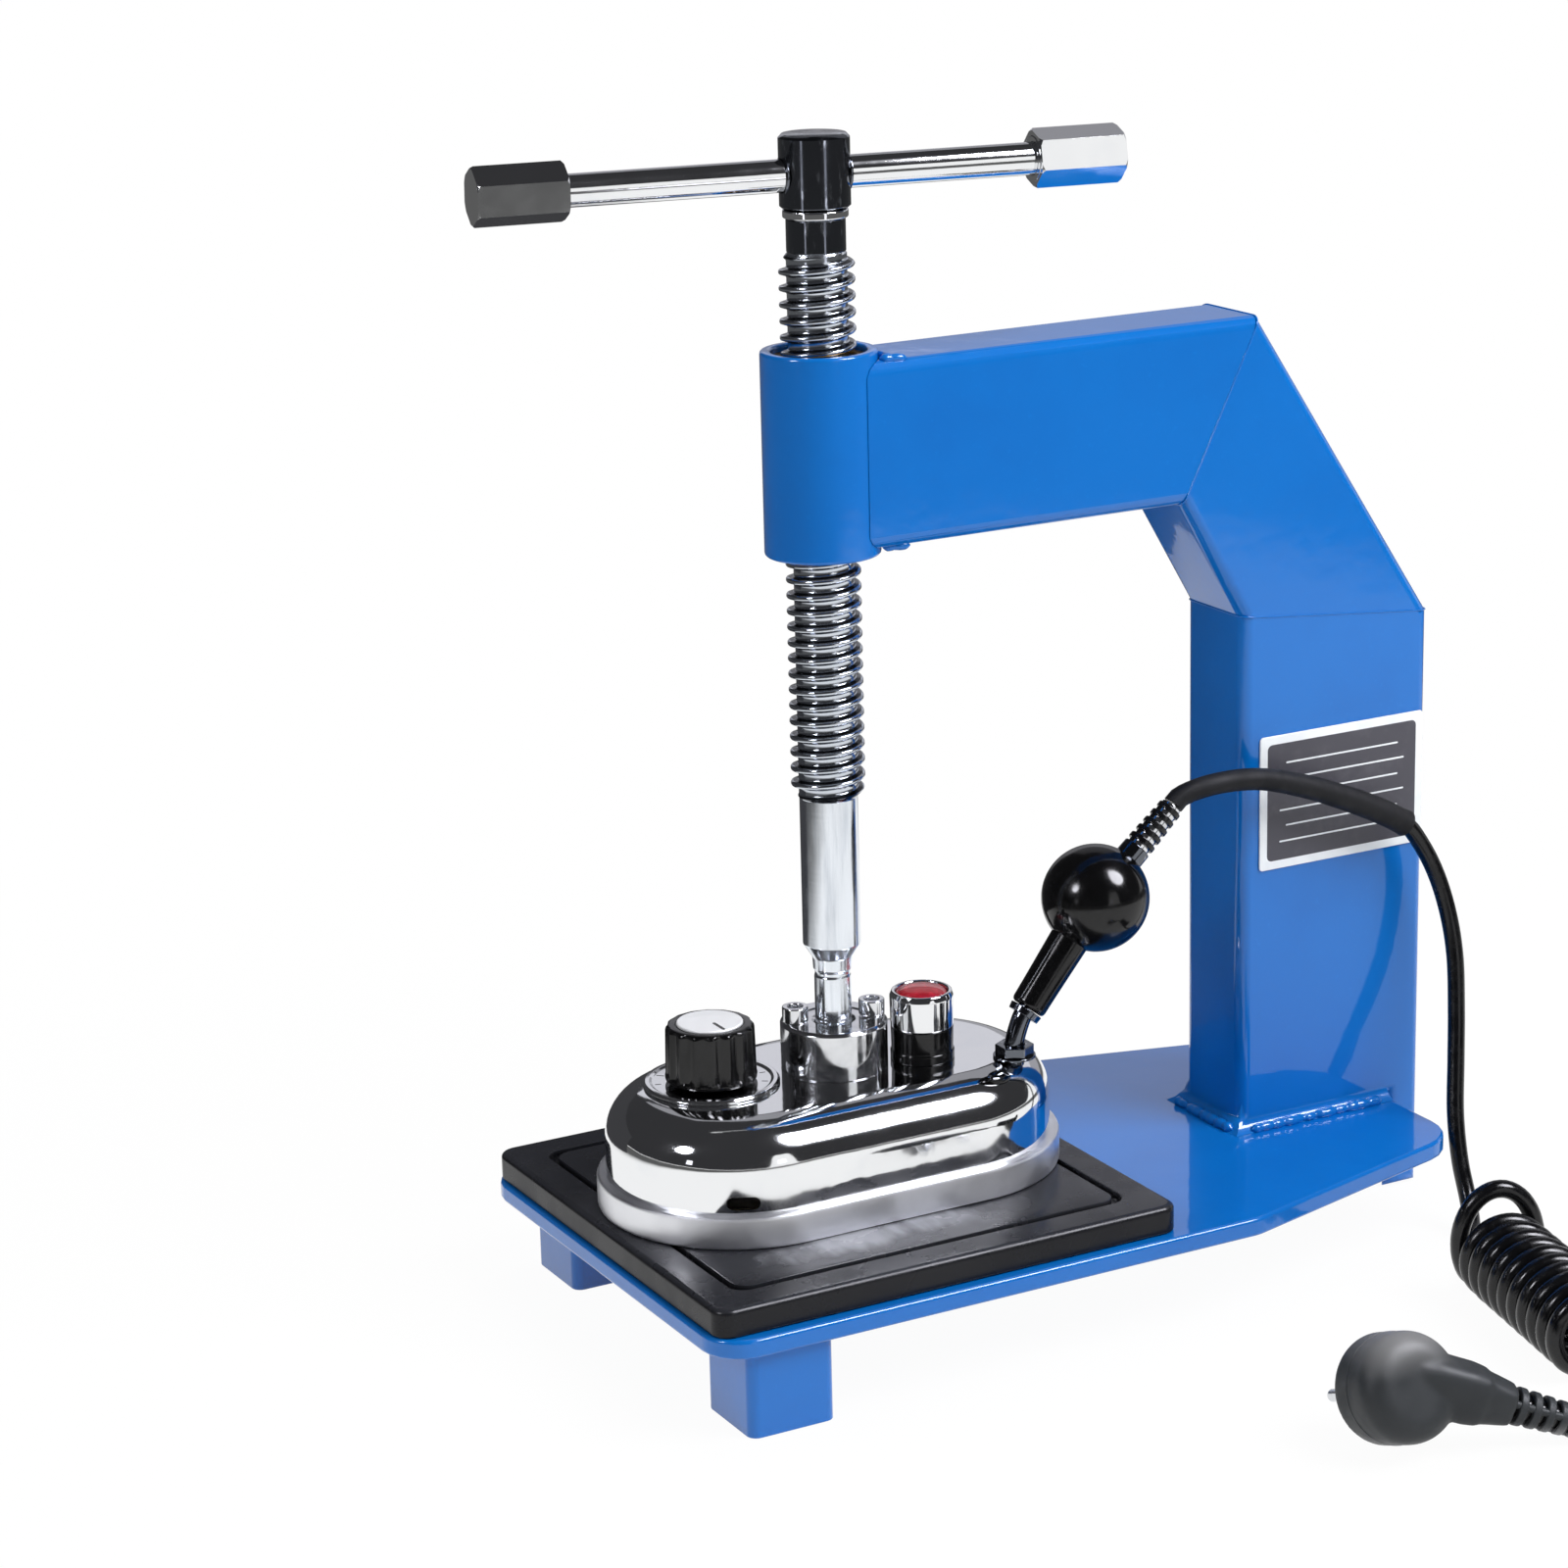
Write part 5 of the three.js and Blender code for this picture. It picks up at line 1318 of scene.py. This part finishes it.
def floor_material():
    """White to the camera, in gloss and through glass, with a trace of the shadow near the machine."""
    material, tree = stage_material("floor")
    path = add_node(tree, "LightPath")
    spot = add_node(tree, "NewGeometry").outputs["Position"]
    reach = add_node(tree, "VectorMath", {0: spot}, operation="LENGTH").outputs["Value"]
    share = maths(tree, "MULTIPLY", seen_rays(tree, path), ramp(tree, reach, 0.96, 1.0, 0.3, 0.75))
    # The white table ends about a metre away, and the dark room beyond shows in the metal
    table = add_node(tree, "VectorMath", {0: spot, 1: TABLE_MIDDLE}, operation="DISTANCE").outputs["Value"]
    bright = maths(tree, "MAXIMUM", ramp(tree, table, 1.0, 0.11, 0.75, 1.05), path.outputs["Is Camera Ray"])
    glow = add_node(tree, "Emission", {"Color": (1, 1, 1, 1), "Strength": bright})
    plain = add_node(tree, "BsdfDiffuse", {"Color": (0.9, 0.9, 0.9, 1)})
    mix = add_node(tree, "MixShader", {0: share, 1: plain.outputs[0], 2: glow.outputs[0]})
    add_node(tree, "OutputMaterial", {0: mix.outputs[0]})
    return material


def make_world():
    world = bpy.data.worlds.new("studio")
    bpy.context.scene.world = world
    world.use_nodes = True
    tree = world.node_tree
    background = tree.nodes["Background"]
    background.inputs["Color"].default_value = (1, 1, 1, 1)
    seen = seen_rays(tree, add_node(tree, "LightPath"))
    tree.links.new(ramp(tree, seen, WORLD_STRENGTH, 1.0, 0, 1), background.inputs["Strength"])


def sky_point(azimuth, elevation, distance):
    return STUDIO_MIDDLE + direction(azimuth, elevation) * distance


def room_edge(azimuth):
    """How high the white horizon reaches: high in a narrow range in front and behind on the right."""
    left = smoothstep(azimuth, -4, 2)
    behind = smoothstep(azimuth, 165, 178)
    right = smoothstep(azimuth, 17, 22) * (1 - smoothstep(azimuth, 75, 100))
    return -1 + 25 * left * (1 - behind) * (1 - right)


def mirror_only(name, rows, brightness, closed=False):
    """A surface of the studio that only reflections see, from rows of points."""
    count = len(rows[0])
    faces = []
    for start in range(0, (len(rows) - 1) * count, count):
        faces += band(start, start + count, count, closed)
    mesh = bpy.data.meshes.new(name)
    mesh.from_pydata([tuple(p) for row in rows for p in row], [], faces)
    obj = placed(name, mesh)
    material, tree = stage_material(name)
    glow = add_node(tree, "Emission", {"Color": (brightness, brightness, brightness * 1.08, 1)})
    add_node(tree, "OutputMaterial", {0: glow.outputs[0]})
    mesh.materials.append(material)
    for rays in ("camera", "diffuse", "shadow", "transmission", "volume_scatter"):
        setattr(obj, "visible_" + rays, False)


def make_dome():
    """The dark room above the white horizon, and low haze and a grey card behind the machine."""
    steps = 120
    rows = []
    for share in (0, 0.12, 0.25, 0.4, 0.55, 0.7, 0.85, 1.0):
        row = []
        for i in range(steps):
            azimuth = 360 * i / steps - 180
            low = room_edge(azimuth)
            row.append(sky_point(azimuth, low + (89.9 - low) * share, 4))
        rows.append(row)
    mirror_only("dark_room", rows, 0.035, closed=True)
    for name, distance, azimuths, elevations, brightness in (
        ("low_haze", 4.1, range(96, 190, 6), (-2, 13), 0.36),
        ("high_haze", 4.1, range(96, 190, 6), (13, 27), 0.68),
        ("grey_card", 3.8, range(108, 174, 6), (27, 50), 0.3),
    ):
        rows = [[sky_point(azimuth, level, distance) for azimuth in azimuths] for level in elevations]
        mirror_only(name, rows, brightness)


def make_cards():
    """Two bright posts in front, and two dark cards behind that the column's left face mirrors."""
    for i, (azimuth, half) in enumerate(((-70, 2.8), (6, 3.4))):
        rows = []
        for level in (0.19, 0.36):
            foot = Vector((STUDIO_MIDDLE.x, 0, level))
            rows.append([foot + direction(azimuth + side * half, 0) * 1.1 for side in (-1, 1)])
        mirror_only(f"bright_post_{i}", rows, 1.5)
    for name, low, high, y, top in (
        ("wide_card", -0.45, 0.05, 0.3, 0.2), ("near_card", -0.04, 0.02, 0.16, 0.075),
    ):
        mirror_only(name, [[Vector((x, y, z)) for x in (low, high)] for z in (0, top)], 0.05)


def make_box_face(name, azimuth, elevation, wide, high):
    """The bright face of a soft box as metal mirrors it, with edges that fade."""
    edges = ((1.32, 1.22, 0.12), (1.22, 1.14, 0.3), (1.14, 1.07, 0.55), (1.07, 1.0, 0.9), (1.0, 0.001, 22))
    angles = [math.tau * i / 40 for i in range(40)]
    for k, (outer, inner, brightness) in enumerate(edges):
        rows = []
        for size in (outer, inner):
            rows.append([
                sky_point(azimuth + wide * size * math.cos(a), elevation + high * size * math.sin(a), 2.0)
                for a in angles
            ])
        mirror_only(f"{name}_face_{k}", rows, brightness, closed=True)


def make_light(name, azimuth, elevation, distance, width, height, power):
    """A soft box that gloss doesn't see, aimed at the machine."""
    data = bpy.data.lights.new(name, "AREA")
    data.shape = "ELLIPSE"
    data.size = width
    data.size_y = height
    data.energy = power
    light = placed(name, data)
    place = sky_point(azimuth, elevation, distance)
    aim = STUDIO_MIDDLE - place
    light.matrix_world = Matrix.Translation(place) @ aim.to_track_quat("-Z", "Y").to_matrix().to_4x4()
    light.visible_camera = False
    light.visible_glossy = False


def make_stage():
    mesh = bpy.data.meshes.new("floor")
    corners = [(-12, -12, 0), (12, -12, 0), (12, 12, 0), (-12, 12, 0)]
    mesh.from_pydata(corners, [], [(0, 1, 2, 3)])
    floor = placed("floor", mesh)
    floor.location.z = -0.0002
    mesh.materials.append(floor_material())
    make_world()
    make_dome()
    make_cards()
    make_light("soft_box_right", 40, 46, 2.0, 1.25, 1.3, 40)
    make_light("soft_box_left", -81, 31, 2.0, 0.5, 0.5, 6)
    make_light("soft_box_top", 150, 72, 2.2, 1.0, 0.8, 9)
    make_box_face("right", 40, 46, 18, 16)
    make_box_face("left", -81, 31, 8, 8)


make_stage()

scene = bpy.context.scene
scene.view_settings.view_transform = "Standard"
